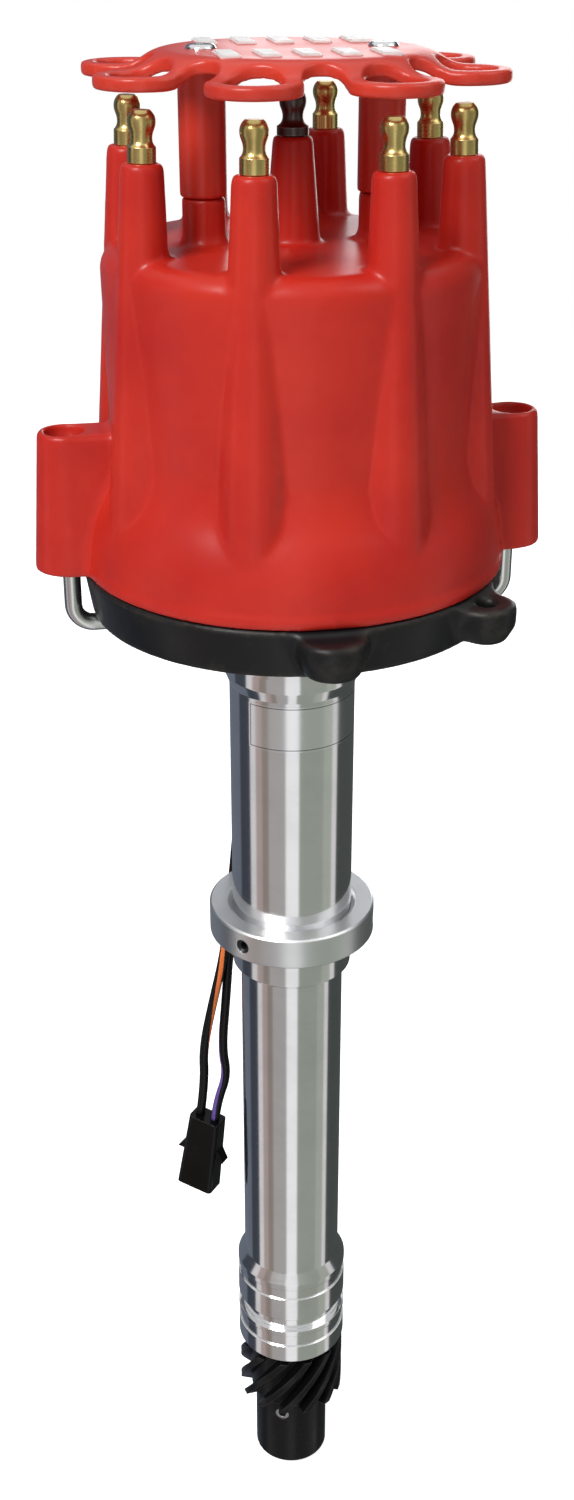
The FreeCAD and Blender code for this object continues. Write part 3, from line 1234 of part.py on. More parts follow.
def lead_path(points):
    """Straight runs through the points, joined by arcs as large as the two runs beside allow."""
    edges = []
    radii = []
    start = points[0]
    for before, here, after in zip(points, points[1:], points[2:]):
        way_in = (here - before).normalize()
        way_out = (after - here).normalize()
        half_turn = way_in.getAngle(way_out) / 2
        trim = 0.45 * min((here - before).Length, (after - here).Length)
        radius = trim / math.tan(half_turn)
        first = here - way_in * trim
        last = here + way_out * trim
        inward = (way_out - way_in).normalize()
        centre = here + inward * (radius / math.cos(half_turn))
        middle = centre - inward * radius
        edges += [Part.LineSegment(start, first).toShape(), Part.Arc(first, middle, last).toShape()]
        radii.append(radius)
        start = last
    edges.append(Part.LineSegment(start, points[-1]).toShape())
    return Part.Wire(edges), min(radii)


for name, route in LEAD_ROUTES.items():
    points = [FreeCAD.Vector(*point) for point in route]
    wire, smallest = lead_path(points)
    ring_edge = Part.makeCircle(size("lead_radius").value, points[0], points[1] - points[0])
    shape = wire.makePipeShell([Part.Wire(ring_edge)], True, False)
    expected = math.pi * size("lead_radius").value ** 2 * wire.Length
    print(f"{name}: length {wire.Length:.1f}, smallest radius {smallest:.1f}, "
          f"volume {shape.Volume / expected:.4f} of section times length")
    lead = doc.addObject("Part::Feature", name)
    lead.Shape = shape
    node(name, lead)


# Connector: a two-way plug housing on the leads' end, its sockets open at the foot.
def rounded(width, depth, corner):
    """Corners of a rectangle whose corners are rounded."""
    half_width = width / 2
    half_depth = depth / 2
    return [
        (half_width - corner, -half_depth), (half_width, corner - half_depth, corner),
        (half_width, half_depth - corner), (half_width - corner, half_depth, corner),
        (corner - half_width, half_depth), (-half_width, half_depth - corner, corner),
        (-half_width, corner - half_depth), (corner - half_width, -half_depth, corner)]


def hang(thing):
    """Put a piece of the connector, drawn from its top face down, where the leads end."""
    bearing = size("connector_tilt_axis_angle")
    axis = FreeCAD.Vector(cos(bearing).value, sin(bearing).value, 0)
    tilt = FreeCAD.Rotation(axis, size("connector_tilt_angle").value)
    spin = FreeCAD.Rotation(FreeCAD.Vector(0, 0, 1), size("connector_angle").value)
    spot = FreeCAD.Vector(size("connector_x").value, size("connector_y").value,
                          size("connector_top").value)
    thing.Placement = FreeCAD.Placement(spot, tilt * spin) * thing.Placement
    return thing


length = size("connector_length")
hull = lofted("connector_hull",
              rounded(size("connector_width"), size("connector_depth"), size("connector_corner")),
              rounded(size("connector_head_width"), size("connector_head_depth"),
                      size("connector_corner")), -length, 0)
wing_root = size("connector_width") / 2 - size("connector_wing_root")
wing_tip = size("connector_width") / 2 + size("connector_wing")
wing_depth = size("connector_depth") / 4
wing_head = -size("connector_wing_drop")
wings = lofted("connector_wings", [
    (-wing_tip, -wing_depth), (wing_tip, -wing_depth), (wing_tip, wing_depth),
    (-wing_tip, wing_depth)], [
    (-wing_root, -wing_depth), (wing_root, -wing_depth), (wing_root, wing_depth),
    (-wing_root, wing_depth)], wing_head - size("connector_wing_height"), wing_head)
sockets = []
pins = []
for index, way in enumerate((-1, 1)):
    across = size("socket_pitch") / 2 * way
    sockets.append(cylinder(f"socket_{index}", size("socket_radius"), size("socket_depth"),
                            across, 0, -length))
    pins.append(cylinder(f"connector_pin_{index}", size("pin_radius"), size("pin_length"),
                         across, 0, size("socket_depth") - size("pin_length") - length))
plug = cut("connector_cut", joined("connector_solid", [hull, wings]), sockets)
node("lead_connector", cut("connector_entry", hang(plug), [nodes[name] for name in LEAD_ROUTES]))
node("connector_pins", hang(group("connector_pin_group", pins)))

doc.recompute()
failed = [thing.Name for thing in doc.Objects if {"Invalid", "Error"} & set(thing.State)]
failed += [name for name, thing in nodes.items() if thing.Shape.isNull() or not thing.Shape.isValid()]
if failed:
    raise RuntimeError("failed objects: " + ", ".join(failed))
os.makedirs("parts", exist_ok=True)
for name, thing in nodes.items():
    thing.Shape.exportStep(f"parts/{name}.step")
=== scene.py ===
import math

import bmesh
import bpy
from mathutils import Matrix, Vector


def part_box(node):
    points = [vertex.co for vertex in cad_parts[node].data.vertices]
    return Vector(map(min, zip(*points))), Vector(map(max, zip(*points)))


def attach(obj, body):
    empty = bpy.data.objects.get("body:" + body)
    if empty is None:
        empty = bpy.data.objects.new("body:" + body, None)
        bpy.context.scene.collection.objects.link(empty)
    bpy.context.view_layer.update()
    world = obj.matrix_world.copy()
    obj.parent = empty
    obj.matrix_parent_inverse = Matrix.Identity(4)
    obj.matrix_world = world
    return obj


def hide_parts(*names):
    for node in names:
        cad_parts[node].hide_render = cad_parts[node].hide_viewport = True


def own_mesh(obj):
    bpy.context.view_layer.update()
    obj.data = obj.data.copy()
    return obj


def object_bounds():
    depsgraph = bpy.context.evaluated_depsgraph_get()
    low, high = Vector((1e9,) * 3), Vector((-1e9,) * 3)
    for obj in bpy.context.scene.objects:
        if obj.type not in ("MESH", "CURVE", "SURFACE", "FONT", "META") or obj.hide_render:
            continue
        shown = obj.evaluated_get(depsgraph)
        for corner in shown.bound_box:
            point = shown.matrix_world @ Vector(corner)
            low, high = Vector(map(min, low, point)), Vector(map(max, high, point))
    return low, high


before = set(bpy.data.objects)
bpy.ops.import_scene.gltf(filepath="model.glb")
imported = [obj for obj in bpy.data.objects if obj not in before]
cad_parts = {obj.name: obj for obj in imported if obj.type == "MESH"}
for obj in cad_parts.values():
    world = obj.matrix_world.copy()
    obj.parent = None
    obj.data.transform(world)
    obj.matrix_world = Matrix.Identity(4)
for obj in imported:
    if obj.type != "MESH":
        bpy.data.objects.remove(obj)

cad_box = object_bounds()


# Camera. It looks down on the distributor from the front, a little to the left of the lug, as a
# product camera does on a long lens. Distances are from the shaft and from the gear's foot.
gear_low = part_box("drive_gear")[0]
camera_turn = math.radians(-10.5)
camera_tilt = math.radians(26.28)
camera_distance = 0.4165
camera_rise = 0.4535
camera_aside = -0.0013
photo_height = 1500
focal_pixels = 1773
ahead = Vector((-math.sin(camera_turn), math.cos(camera_turn), 0))
rightward = Vector((math.cos(camera_turn), math.sin(camera_turn), 0))
camera_data = bpy.data.cameras.new("photo_camera")
camera_data.sensor_width = 36
camera_data.lens = focal_pixels / photo_height * camera_data.sensor_width
camera_data.clip_start = 0.01
camera = bpy.data.objects.new("photo_camera", camera_data)
camera.location = rightward * camera_aside - ahead * camera_distance
camera.location.z = gear_low[2] + camera_rise
camera.rotation_euler = (math.pi / 2 - camera_tilt, 0, camera_turn)
bpy.context.collection.objects.link(camera)
bpy.context.scene.camera = camera
bpy.context.scene.view_settings.view_transform = "Standard"


# Leads. Two stranded wires in black plastic, each with a coloured stripe that winds slowly round
# it. They hang from the grommet behind the housing to the connector. Routes are in millimetres.
lead_diameter = 0.0027
lead_routes = {
    "striped_lead_orange": [
        (-8.4, 33.2, 219.9), (-8.4, 33.2, 205.0), (-8.6, 30.6, 180.0), (-9.3, 27.7, 155.0),
        (-12.1, 25.1, 130.0), (-15.4, 22.7, 104.0), (-19.4, 21.4, 88.0), (-22.8, 20.8, 72.0),
        (-22.7, 19.6, 60.6), (-24.2, 19.9, 48.7)],
    "striped_lead_violet": [
        (-4.5, 34.3, 219.9), (-4.5, 34.3, 204.0), (-5.2, 31.3, 179.0), (-6.1, 28.8, 154.0),
        (-9.1, 27.0, 129.0), (-13.7, 25.6, 103.6), (-15.4, 22.2, 88.6), (-17.2, 20.5, 71.5),
        (-16.0, 18.7, 63.0), (-19.4, 16.7, 55.1), (-20.2, 16.8, 48.7)],
}


def put(tree, kind, settings=None, wires=None):
    """A new node in a tree; wires gives each input's plain value, or the output that feeds it."""
    node = tree.nodes.new(kind)
    for key, value in (settings or {}).items():
        setattr(node, key, value)
    for key, value in (wires or {}).items():
        if isinstance(value, bpy.types.NodeSocket):
            tree.links.new(value, node.inputs[key])
        else:
            node.inputs[key].default_value = value
    return node


def shader_of(name, colour, metallic, roughness, gleam=0.5):
    """A new material with its shader's plain values set; returns the material and the shader."""
    material = bpy.data.materials.new(name)
    material.use_nodes = True
    shader = material.node_tree.nodes["Principled BSDF"]
    shader.inputs["Base Color"].default_value = (*colour, 1)
    shader.inputs["Metallic"].default_value = metallic
    shader.inputs["Roughness"].default_value = roughness
    shader.inputs["Specular IOR Level"].default_value = gleam
    return material, shader


def spline_points(name, route):
    """The smooth line of a NURBS spline through a route's points, read back from Blender."""
    curve = bpy.data.curves.new(name + "_line", "CURVE")
    curve.dimensions = "3D"
    curve.resolution_u = 16
    spline = curve.splines.new("NURBS")
    spline.points.add(len(route) - 1)
    for point, place in zip(spline.points, route):
        point.co = (*(Vector(place) / 1000), 1)
    spline.order_u = 3
    spline.use_endpoint_u = True
    holder = bpy.data.objects.new(name + "_line", curve)
    bpy.context.collection.objects.link(holder)
    bpy.context.view_layer.update()
    mesh = bpy.data.meshes.new_from_object(holder)
    points = [vertex.co.copy() for vertex in mesh.vertices]
    bpy.data.objects.remove(holder)
    bpy.data.meshes.remove(mesh)
    return points


def tube_along(name, points, radius, sides, material):
    """A closed tube round a line, with a map that runs along it in metres and once round it."""
    mesh = bmesh.new()
    chart = mesh.loops.layers.uv.new("UVMap")
    aside = Vector((1, 0, 0))
    rings = []
    travelled = [0.0]
    for before, after in zip(points, points[1:]):
        travelled.append(travelled[-1] + (after - before).length)
    for index, point in enumerate(points):
        before = points[max(index - 1, 0)]
        after = points[min(index + 1, len(points) - 1)]
        way = (after - before).normalized()
        aside = (aside - way * aside.dot(way)).normalized()
        across = way.cross(aside)
        ring = []
        for side in range(sides):
            angle = 2 * math.pi * side / sides
            offset = (aside * math.cos(angle) + across * math.sin(angle)) * radius
            ring.append(mesh.verts.new(point + offset))
        rings.append(ring)
    for index in range(len(rings) - 1):
        for side in range(sides):
            after = (side + 1) % sides
            face = mesh.faces.new((rings[index][side], rings[index][after],
                                   rings[index + 1][after], rings[index + 1][side]))
            face.smooth = True
            corners = [(index, side), (index, side + 1), (index + 1, side + 1),
                       (index + 1, side)]
            for loop, (along, turn) in zip(face.loops, corners):
                loop[chart].uv = (travelled[along], turn / sides)
    mesh.faces.new(list(reversed(rings[0])))
    mesh.faces.new(rings[-1])
    mesh.normal_update()
    data = bpy.data.meshes.new(name)
    mesh.to_mesh(data)
    mesh.free()
    piece = bpy.data.objects.new(name, data)
    piece.data.materials.append(material)
    bpy.context.collection.objects.link(piece)
    return piece, travelled[-1]


def striped_insulation(name, stripe, start, winding):
    """Glossy black plastic with a painted stripe that winds round the wire."""
    black = (0.004, 0.004, 0.005)
    material, shader = shader_of(name, colour=black, metallic=0.0, roughness=0.25, gleam=0.22)
    tree = material.node_tree
    chart = put(tree, "ShaderNodeUVMap", {"uv_map": "UVMap"})
    parts = put(tree, "ShaderNodeSeparateXYZ", wires={0: chart.outputs[0]})
    turned = put(tree, "ShaderNodeMath", {"operation": "MULTIPLY_ADD"},
                 {0: parts.outputs["X"], 1: winding, 2: start})
    phase = put(tree, "ShaderNodeMath", {"operation": "ADD"},
                {0: parts.outputs["Y"], 1: turned.outputs[0]})
    loop = put(tree, "ShaderNodeMath", {"operation": "FRACT"}, {0: phase.outputs[0]})
    off = put(tree, "ShaderNodeMath", {"operation": "SUBTRACT"}, {0: loop.outputs[0], 1: 0.5})
    gap = put(tree, "ShaderNodeMath", {"operation": "ABSOLUTE"}, {0: off.outputs[0]})
    place = put(tree, "ShaderNodeTexCoord")
    ink = put(tree, "ShaderNodeTexNoise", wires={"Vector": place.outputs["Object"],
                                                 "Scale": 900.0, "Detail": 3.0})
    ragged = put(tree, "ShaderNodeMath", {"operation": "MULTIPLY_ADD"},
                 {0: ink.outputs[0], 1: 0.03, 2: gap.outputs[0]})
    mask = put(tree, "ShaderNodeMapRange", wires={"Value": ragged.outputs[0], "From Min": 0.105,
                                                  "From Max": 0.085})
    colour = put(tree, "ShaderNodeMix", {"data_type": "RGBA"},
                 {0: mask.outputs[0], 6: (*black, 1), 7: (*stripe, 1)})
    tree.links.new(colour.outputs[2], shader.inputs["Base Color"])
    gloss = put(tree, "ShaderNodeMapRange", wires={"Value": ink.outputs[0], "To Min": 0.18,
                                                   "To Max": 0.34})
    tree.links.new(gloss.outputs[0], shader.inputs["Roughness"])
    return material


stripe_paints = {
    "striped_lead_orange": striped_insulation(
        "orange_striped_plastic", stripe=(0.82, 0.2, 0.05), start=0.12, winding=9.0),
    "striped_lead_violet": striped_insulation(
        "violet_striped_plastic", stripe=(0.14, 0.08, 0.32), start=0.1, winding=6.0),
}
for name, route in lead_routes.items():
    line = spline_points(name, route)
    lead, lead_length = tube_along(
        name + "_wire", points=line, radius=lead_diameter / 2, sides=20,
        material=stripe_paints[name])
    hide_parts(name)
    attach(lead, "housing_assembly")


# Housing. One bar of aluminium, turned between centres: flange, neck, upper tube, mid tube and the
# grooved foot that slides into the engine block. The lathe tool leaves fine rings all the way down.
def group_of(name, inputs, outputs):
    """An empty node group with named sockets; returns the group, its inputs and its output node."""
    group = bpy.data.node_groups.new(name, "ShaderNodeTree")
    for label, kind, value in inputs:
        socket = group.interface.new_socket(label, in_out="INPUT", socket_type="NodeSocket" + kind)
        socket.default_value = value
    for label, kind in outputs:
        group.interface.new_socket(label, in_out="OUTPUT", socket_type="NodeSocket" + kind)
    return group, group.nodes.new("NodeGroupInput").outputs, group.nodes.new("NodeGroupOutput")


turned_finish, given, end = group_of(
    "turned_finish",
    [("Colour", "Color", (0.6, 0.6, 0.6, 1)), ("Stain", "Color", (0.3, 0.3, 0.3, 1)),
     ("Stain Amount", "Float", 0.3), ("Ring Pitch", "Float", 2500.0),
     ("Roughness", "Float", 0.25), ("Roughness Spread", "Float", 0.1)],
    [("Colour", "Color"), ("Roughness", "Float"), ("Height", "Float")])
place = put(turned_finish, "ShaderNodeTexCoord")
ring_scale = put(turned_finish, "ShaderNodeCombineXYZ", wires={0: 30.0, 1: 30.0,
                                                               2: given["Ring Pitch"]})
ring_place = put(turned_finish, "ShaderNodeVectorMath", {"operation": "MULTIPLY"},
                 {0: place.outputs["Object"], 1: ring_scale.outputs[0]})
ring = put(turned_finish, "ShaderNodeTexNoise", wires={"Vector": ring_place.outputs[0],
                                                       "Scale": 1.0, "Detail": 3.0})
blotch = put(turned_finish, "ShaderNodeTexNoise", wires={"Vector": place.outputs["Object"],
                                                         "Scale": 55.0, "Detail": 5.0,
                                                         "Roughness": 0.62})
patch = put(turned_finish, "ShaderNodeMapRange", wires={"Value": blotch.outputs[0],
                                                        "From Min": 0.42, "From Max": 0.72})
ringed = put(turned_finish, "ShaderNodeMath", {"operation": "MULTIPLY_ADD"},
             {0: ring.outputs[0], 1: 0.35, 2: patch.outputs[0]})
share = put(turned_finish, "ShaderNodeMath", {"operation": "MULTIPLY", "use_clamp": True},
            {0: ringed.outputs[0], 1: given["Stain Amount"]})
tone = put(turned_finish, "ShaderNodeMix", {"data_type": "RGBA"},
           {0: share.outputs[0], 6: given["Colour"], 7: given["Stain"]})
uneven = put(turned_finish, "ShaderNodeMath", {"operation": "ADD"},
             {0: ring.outputs[0], 1: blotch.outputs[0]})
centred = put(turned_finish, "ShaderNodeMath", {"operation": "SUBTRACT"},
              {0: uneven.outputs[0], 1: 1.0})
gloss = put(turned_finish, "ShaderNodeMath", {"operation": "MULTIPLY_ADD"},
            {0: centred.outputs[0], 1: given["Roughness Spread"], 2: given["Roughness"]})
for label, source in (("Colour", tone.outputs[2]), ("Roughness", gloss.outputs[0]),
                      ("Height", ring.outputs[0])):
    turned_finish.links.new(source, end.inputs[label])

edge_wear, given, end = group_of(
    "edge_wear",
    [("Width", "Float", 0.0006), ("Low", "Float", 0.02), ("High", "Float", 0.12),
     ("Break Up", "Float", 0.6)],
    [("Mask", "Float")])
eased = put(edge_wear, "ShaderNodeBevel", {"samples": 6}, {"Radius": given["Width"]})
facing = put(edge_wear, "ShaderNodeNewGeometry")
level = put(edge_wear, "ShaderNodeVectorMath", {"operation": "DOT_PRODUCT"},
            {0: eased.outputs[0], 1: facing.outputs["Normal"]})
turned_away = put(edge_wear, "ShaderNodeMath", {"operation": "SUBTRACT"},
                  {0: 1.0, 1: level.outputs["Value"]})
place = put(edge_wear, "ShaderNodeTexCoord")
chips = put(edge_wear, "ShaderNodeTexNoise", wires={"Vector": place.outputs["Object"],
                                                    "Scale": 260.0, "Detail": 4.0})
patchy = put(edge_wear, "ShaderNodeMapRange", wires={"Value": chips.outputs[0], "From Min": 0.4,
                                                     "From Max": 0.62, "To Min": 0.0})
whole = put(edge_wear, "ShaderNodeMath", {"operation": "SUBTRACT"},
            {0: 1.0, 1: given["Break Up"]})
kept = put(edge_wear, "ShaderNodeMath", {"operation": "MULTIPLY_ADD", "use_clamp": True},
           {0: patchy.outputs[0], 1: given["Break Up"], 2: whole.outputs[0]})
worn = put(edge_wear, "ShaderNodeMapRange", wires={"Value": turned_away.outputs[0],
                                                   "From Min": given["Low"],
                                                   "From Max": given["High"]})
mask = put(edge_wear, "ShaderNodeMath", {"operation": "MULTIPLY", "use_clamp": True},
           {0: worn.outputs[0], 1: kept.outputs[0]})
edge_wear.links.new(mask.outputs[0], end.inputs["Mask"])


def soft_edges(material, radius, height, strength, depth):
    """Fine relief on a material; a radius, where one is given, rounds the look of its edges."""
    tree = material.node_tree
    relief = {"Strength": strength, "Distance": depth, "Height": height}
    if radius:
        relief["Normal"] = put(tree, "ShaderNodeBevel", {"samples": 6},
                               {"Radius": radius}).outputs[0]
    bump = put(tree, "ShaderNodeBump", wires=relief)
    tree.links.new(bump.outputs[0], tree.nodes["Principled BSDF"].inputs["Normal"])


def turned_metal(name, colour, stain, roughness, ring_pitch=2500.0, stain_amount=0.3,
                 spread=0.12, edge=0.0003, bright_edge=None, edge_share=0.6):
    """Bare metal off a lathe: fine rings, faint stains, and edges that wear brighter."""
    material, shader = shader_of(name, colour=colour, metallic=1.0, roughness=roughness)
    tree = material.node_tree
    finish = put(tree, "ShaderNodeGroup", {"node_tree": turned_finish},
                 {"Colour": (*colour, 1), "Stain": (*stain, 1), "Stain Amount": stain_amount,
                  "Ring Pitch": ring_pitch, "Roughness": roughness, "Roughness Spread": spread})
    tone = finish.outputs["Colour"]
    if bright_edge:
        wear = put(tree, "ShaderNodeGroup", {"node_tree": edge_wear},
                   {"Width": 2 * edge, "Break Up": edge_share})
        tone = put(tree, "ShaderNodeMix", {"data_type": "RGBA"},
                   {0: wear.outputs["Mask"], 6: tone, 7: (*bright_edge, 1)}).outputs[2]
    tree.links.new(tone, shader.inputs["Base Color"])
    tree.links.new(finish.outputs["Roughness"], shader.inputs["Roughness"])
    soft_edges(
        material, radius=edge, height=finish.outputs["Height"], strength=0.12, depth=0.00001)
    return material


def finish_node(name, material):
    """Gives a CAD solid its finished material in every slot."""
    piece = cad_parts[name]
    if not piece.material_slots:
        piece.data.materials.append(material)
    for slot in piece.material_slots:
        slot.material = material


finish_node("housing", turned_metal(
    "lathe_turned_aluminium", colour=(0.78, 0.78, 0.79), stain=(0.5, 0.5, 0.52), roughness=0.12,
    ring_pitch=3200.0, spread=0.07, bright_edge=(0.92, 0.92, 0.93)))


# Label. A blank silver foil sticker, wrapped round the front of the upper tube below its neck, with
# a fine grey line printed along its border.
label_low, label_high = 0.1858, 0.1984
label_start, label_end = math.radians(-143), math.radians(-22)
label_radius = 0.016152
label_thickness = 0.00003
label_steps = 48
sharp_angle = math.radians(30)
foil_silver = (0.8, 0.8, 0.82)
border_grey = (0.3, 0.3, 0.32)
border_inset = 0.0006
border_edge, border_core = 0.00018, 0.0001
label_mesh = bmesh.new()
label_chart = label_mesh.loops.layers.uv.new("UVMap")
label_posts = []
for index in range(label_steps + 1):
    angle = label_start + (label_end - label_start) * index / label_steps
    label_posts.append([label_mesh.verts.new((label_radius * math.cos(angle),
                                              label_radius * math.sin(angle), height))
                        for height in (label_low, label_high)])
for index, (left, right) in enumerate(zip(label_posts, label_posts[1:])):
    face = label_mesh.faces.new((left[0], right[0], right[1], left[1]))
    face.smooth = True
    near, far = index / label_steps, (index + 1) / label_steps
    for loop, place in zip(face.loops, ((near, 0), (far, 0), (far, 1), (near, 1))):
        loop[label_chart].uv = place
label_data = bpy.data.meshes.new("blank_label")
label_mesh.to_mesh(label_data)
label_mesh.free()
label = bpy.data.objects.new("blank_label", label_data)
bpy.context.collection.objects.link(label)
label_body = label.modifiers.new("foil", "SOLIDIFY")
label_body.thickness = label_thickness
label_body.offset = 1
label_rim = label.modifiers.new("sharp rim", "EDGE_SPLIT")
label_rim.split_angle = sharp_angle
foil, foil_shader = shader_of(
    "silver_label_foil", colour=foil_silver, metallic=1.0, roughness=0.18)
foil_tree = foil.node_tree
foil_chart = put(foil_tree, "ShaderNodeUVMap", {"uv_map": "UVMap"})
foil_parts = put(foil_tree, "ShaderNodeSeparateXYZ", wires={0: foil_chart.outputs[0]})
label_width = label_radius * (label_end - label_start)
border_lines = []
for side, span in (("X", label_width), ("Y", label_high - label_low)):
    off = put(foil_tree, "ShaderNodeMath", {"operation": "SUBTRACT"},
              {0: foil_parts.outputs[side], 1: 0.5})
    gap = put(foil_tree, "ShaderNodeMath", {"operation": "ABSOLUTE"}, {0: off.outputs[0]})
    reach = put(foil_tree, "ShaderNodeMath", {"operation": "MULTIPLY_ADD"},
                {0: gap.outputs[0], 1: -span, 2: span / 2})
    border_lines.append(reach.outputs[0])
inward = put(foil_tree, "ShaderNodeMath", {"operation": "MINIMUM"},
             {0: border_lines[0], 1: border_lines[1]})
line_off = put(foil_tree, "ShaderNodeMath", {"operation": "SUBTRACT"},
               {0: inward.outputs[0], 1: border_inset})
line_gap = put(foil_tree, "ShaderNodeMath", {"operation": "ABSOLUTE"}, {0: line_off.outputs[0]})
border = put(foil_tree, "ShaderNodeMapRange", wires={"Value": line_gap.outputs[0],
                                                     "From Min": border_edge,
                                                     "From Max": border_core})
foil_tone = put(foil_tree, "ShaderNodeMix", {"data_type": "RGBA"},
                {0: border.outputs[0], 6: (*foil_silver, 1), 7: (*border_grey, 1)})
foil_tree.links.new(foil_tone.outputs[2], foil_shader.inputs["Base Color"])
foil_place = put(foil_tree, "ShaderNodeTexCoord")
foil_grain = put(foil_tree, "ShaderNodeTexNoise", wires={"Vector": foil_place.outputs["Object"],
                                                         "Scale": 700.0, "Detail": 3.0})
foil_gloss = put(foil_tree, "ShaderNodeMapRange", wires={"Value": foil_grain.outputs[0],
                                                         "To Min": 0.14, "To Max": 0.24})
foil_tree.links.new(foil_gloss.outputs[0], foil_shader.inputs["Roughness"])
label_data.materials.append(foil)
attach(label, "housing_assembly")


# Bearings. A pressed bronze bush carries the shaft low in the housing, and a ball bearing of
# ground steel carries it under the flange.
finish_node("lower_bushing", turned_metal(
    "sintered_bronze", colour=(0.5, 0.31, 0.13), stain=(0.2, 0.12, 0.06), roughness=0.42,
    ring_pitch=900.0))
ground_steel = turned_metal(
    "ground_bearing_steel", colour=(0.62, 0.63, 0.64), stain=(0.4, 0.4, 0.41), roughness=0.16,
    ring_pitch=5200.0, stain_amount=0.2, spread=0.06)
for name in ("bearing_outer_race", "bearing_inner_race", "bearing_balls"):
    finish_node(name, ground_steel)


# Shaft. Ground steel, centred at both ends and cross drilled for the gear's pin. A spring steel
# ring snaps into its groove under the bearing.
finish_node("shaft", turned_metal(
    "ground_shaft_steel", colour=(0.55, 0.55, 0.56), stain=(0.3, 0.29, 0.28), roughness=0.2,
    ring_pitch=4000.0))
finish_node("shaft_snap_ring", turned_metal(
    "blued_spring_steel", colour=(0.14, 0.14, 0.16), stain=(0.3, 0.2, 0.12), roughness=0.35,
    ring_pitch=1500.0))


# Drive gear. Hobbed from steel and blackened in hot salts, with oil still in its grain. The
# tips of the teeth and the rim of the hub are rubbed brighter. A spring pin locks it to the shaft.
def blackened_metal(name, colour, rubbed, roughness, scuff_size, edge, metallic=0.6,
                    wear_share=0.7, gleam=0.5):
    """Blackened or black painted metal: uneven satin gloss, faint scuffs, edges rubbed bare."""
    material, shader = shader_of(
        name, colour=colour, metallic=metallic, roughness=roughness, gleam=gleam)
    tree = material.node_tree
    place = put(tree, "ShaderNodeTexCoord").outputs["Object"]
    scuff = put(tree, "ShaderNodeTexNoise", wires={"Vector": place, "Scale": scuff_size,
                                                   "Detail": 6.0, "Roughness": 0.7})
    grain = put(tree, "ShaderNodeTexNoise", wires={"Vector": place, "Scale": 1600.0,
                                                   "Detail": 2.0})
    rubbed_place = put(tree, "ShaderNodeMapRange", wires={"Value": scuff.outputs[0],
                                                          "From Min": 0.55, "From Max": 0.8,
                                                          "To Max": 0.35})
    wear = put(tree, "ShaderNodeGroup", {"node_tree": edge_wear},
               {"Width": 1.6 * edge, "Break Up": wear_share})
    share = put(tree, "ShaderNodeMath", {"operation": "MAXIMUM"},
                {0: rubbed_place.outputs[0], 1: wear.outputs["Mask"]})
    tone = put(tree, "ShaderNodeMix", {"data_type": "RGBA"},
               {0: share.outputs[0], 6: (*colour, 1), 7: (*rubbed, 1)})
    tree.links.new(tone.outputs[2], shader.inputs["Base Color"])
    gloss = put(tree, "ShaderNodeMapRange", wires={"Value": scuff.outputs[0], "From Min": 0.3,
                                                   "From Max": 0.7,
                                                   "To Min": roughness - 0.08,
                                                   "To Max": roughness + 0.12})
    tree.links.new(gloss.outputs[0], shader.inputs["Roughness"])
    soft_edges(material, radius=edge, height=grain.outputs[0], strength=0.2, depth=0.00003)
    return material


finish_node("drive_gear", blackened_metal(
    "hot_blackened_gear_steel", colour=(0.009, 0.009, 0.01), rubbed=(0.06, 0.06, 0.064),
    roughness=0.3, scuff_size=120.0, edge=0.0003, gleam=0.25))
finish_node("roll_pin", turned_metal(
    "spring_pin_steel", colour=(0.45, 0.45, 0.46), stain=(0.2, 0.2, 0.2), roughness=0.3,
    ring_pitch=1500.0))


# Thrust washer. A ring stamped from red vulcanised fibre, which takes the gear's upward push.
def moulded_plastic(name, colour, shade, roughness, edge, mottle=70.0, grain=1400.0,
                    grain_strength=0.12, spread=0.08, gleam=0.5):
    """Plastic from a mould: slight clouds of shade, fine grain, and soft edges."""
    material, shader = shader_of(
        name, colour=colour, metallic=0.0, roughness=roughness, gleam=gleam)
    tree = material.node_tree
    place = put(tree, "ShaderNodeTexCoord").outputs["Object"]
    cloud = put(tree, "ShaderNodeTexNoise", wires={"Vector": place, "Scale": mottle,
                                                   "Detail": 4.0})
    fine = put(tree, "ShaderNodeTexNoise", wires={"Vector": place, "Scale": grain,
                                                  "Detail": 2.0})
    share = put(tree, "ShaderNodeMapRange", wires={"Value": cloud.outputs[0], "From Min": 0.35,
                                                   "From Max": 0.7})
    tone = put(tree, "ShaderNodeMix", {"data_type": "RGBA"},
               {0: share.outputs[0], 6: (*colour, 1), 7: (*shade, 1)})
    tree.links.new(tone.outputs[2], shader.inputs["Base Color"])
    gloss = put(tree, "ShaderNodeMapRange", wires={"Value": cloud.outputs[0], "From Min": 0.3,
                                                   "From Max": 0.7,
                                                   "To Min": roughness - spread / 2,
                                                   "To Max": roughness + spread / 2})
    tree.links.new(gloss.outputs[0], shader.inputs["Roughness"])
    soft_edges(
        material, radius=edge, height=fine.outputs[0], strength=grain_strength, depth=0.00002)
    return material


finish_node("thrust_washer", moulded_plastic(
    "red_vulcanised_fibre", colour=(0.3, 0.05, 0.035), shade=(0.18, 0.03, 0.025), roughness=0.5,
    edge=0.0001, mottle=400.0, grain=2600.0))


# Slip collar. A turned aluminium ring that slides on the upper tube and sets how deep the
# distributor stands in the block. Three black socket screws lock it.
finish_node("slip_collar", turned_metal(
    "lathe_turned_collar", colour=(0.74, 0.75, 0.76), stain=(0.45, 0.45, 0.47), roughness=0.34,
    ring_pitch=2600.0, edge=0.0004, bright_edge=(0.92, 0.92, 0.93)))
black_oxide = blackened_metal(
    "black_oxide_screw_steel", colour=(0.018, 0.018, 0.02), rubbed=(0.1, 0.1, 0.1), roughness=0.32,
    scuff_size=300.0, edge=0.0001)
finish_node("collar_set_screws", black_oxide)


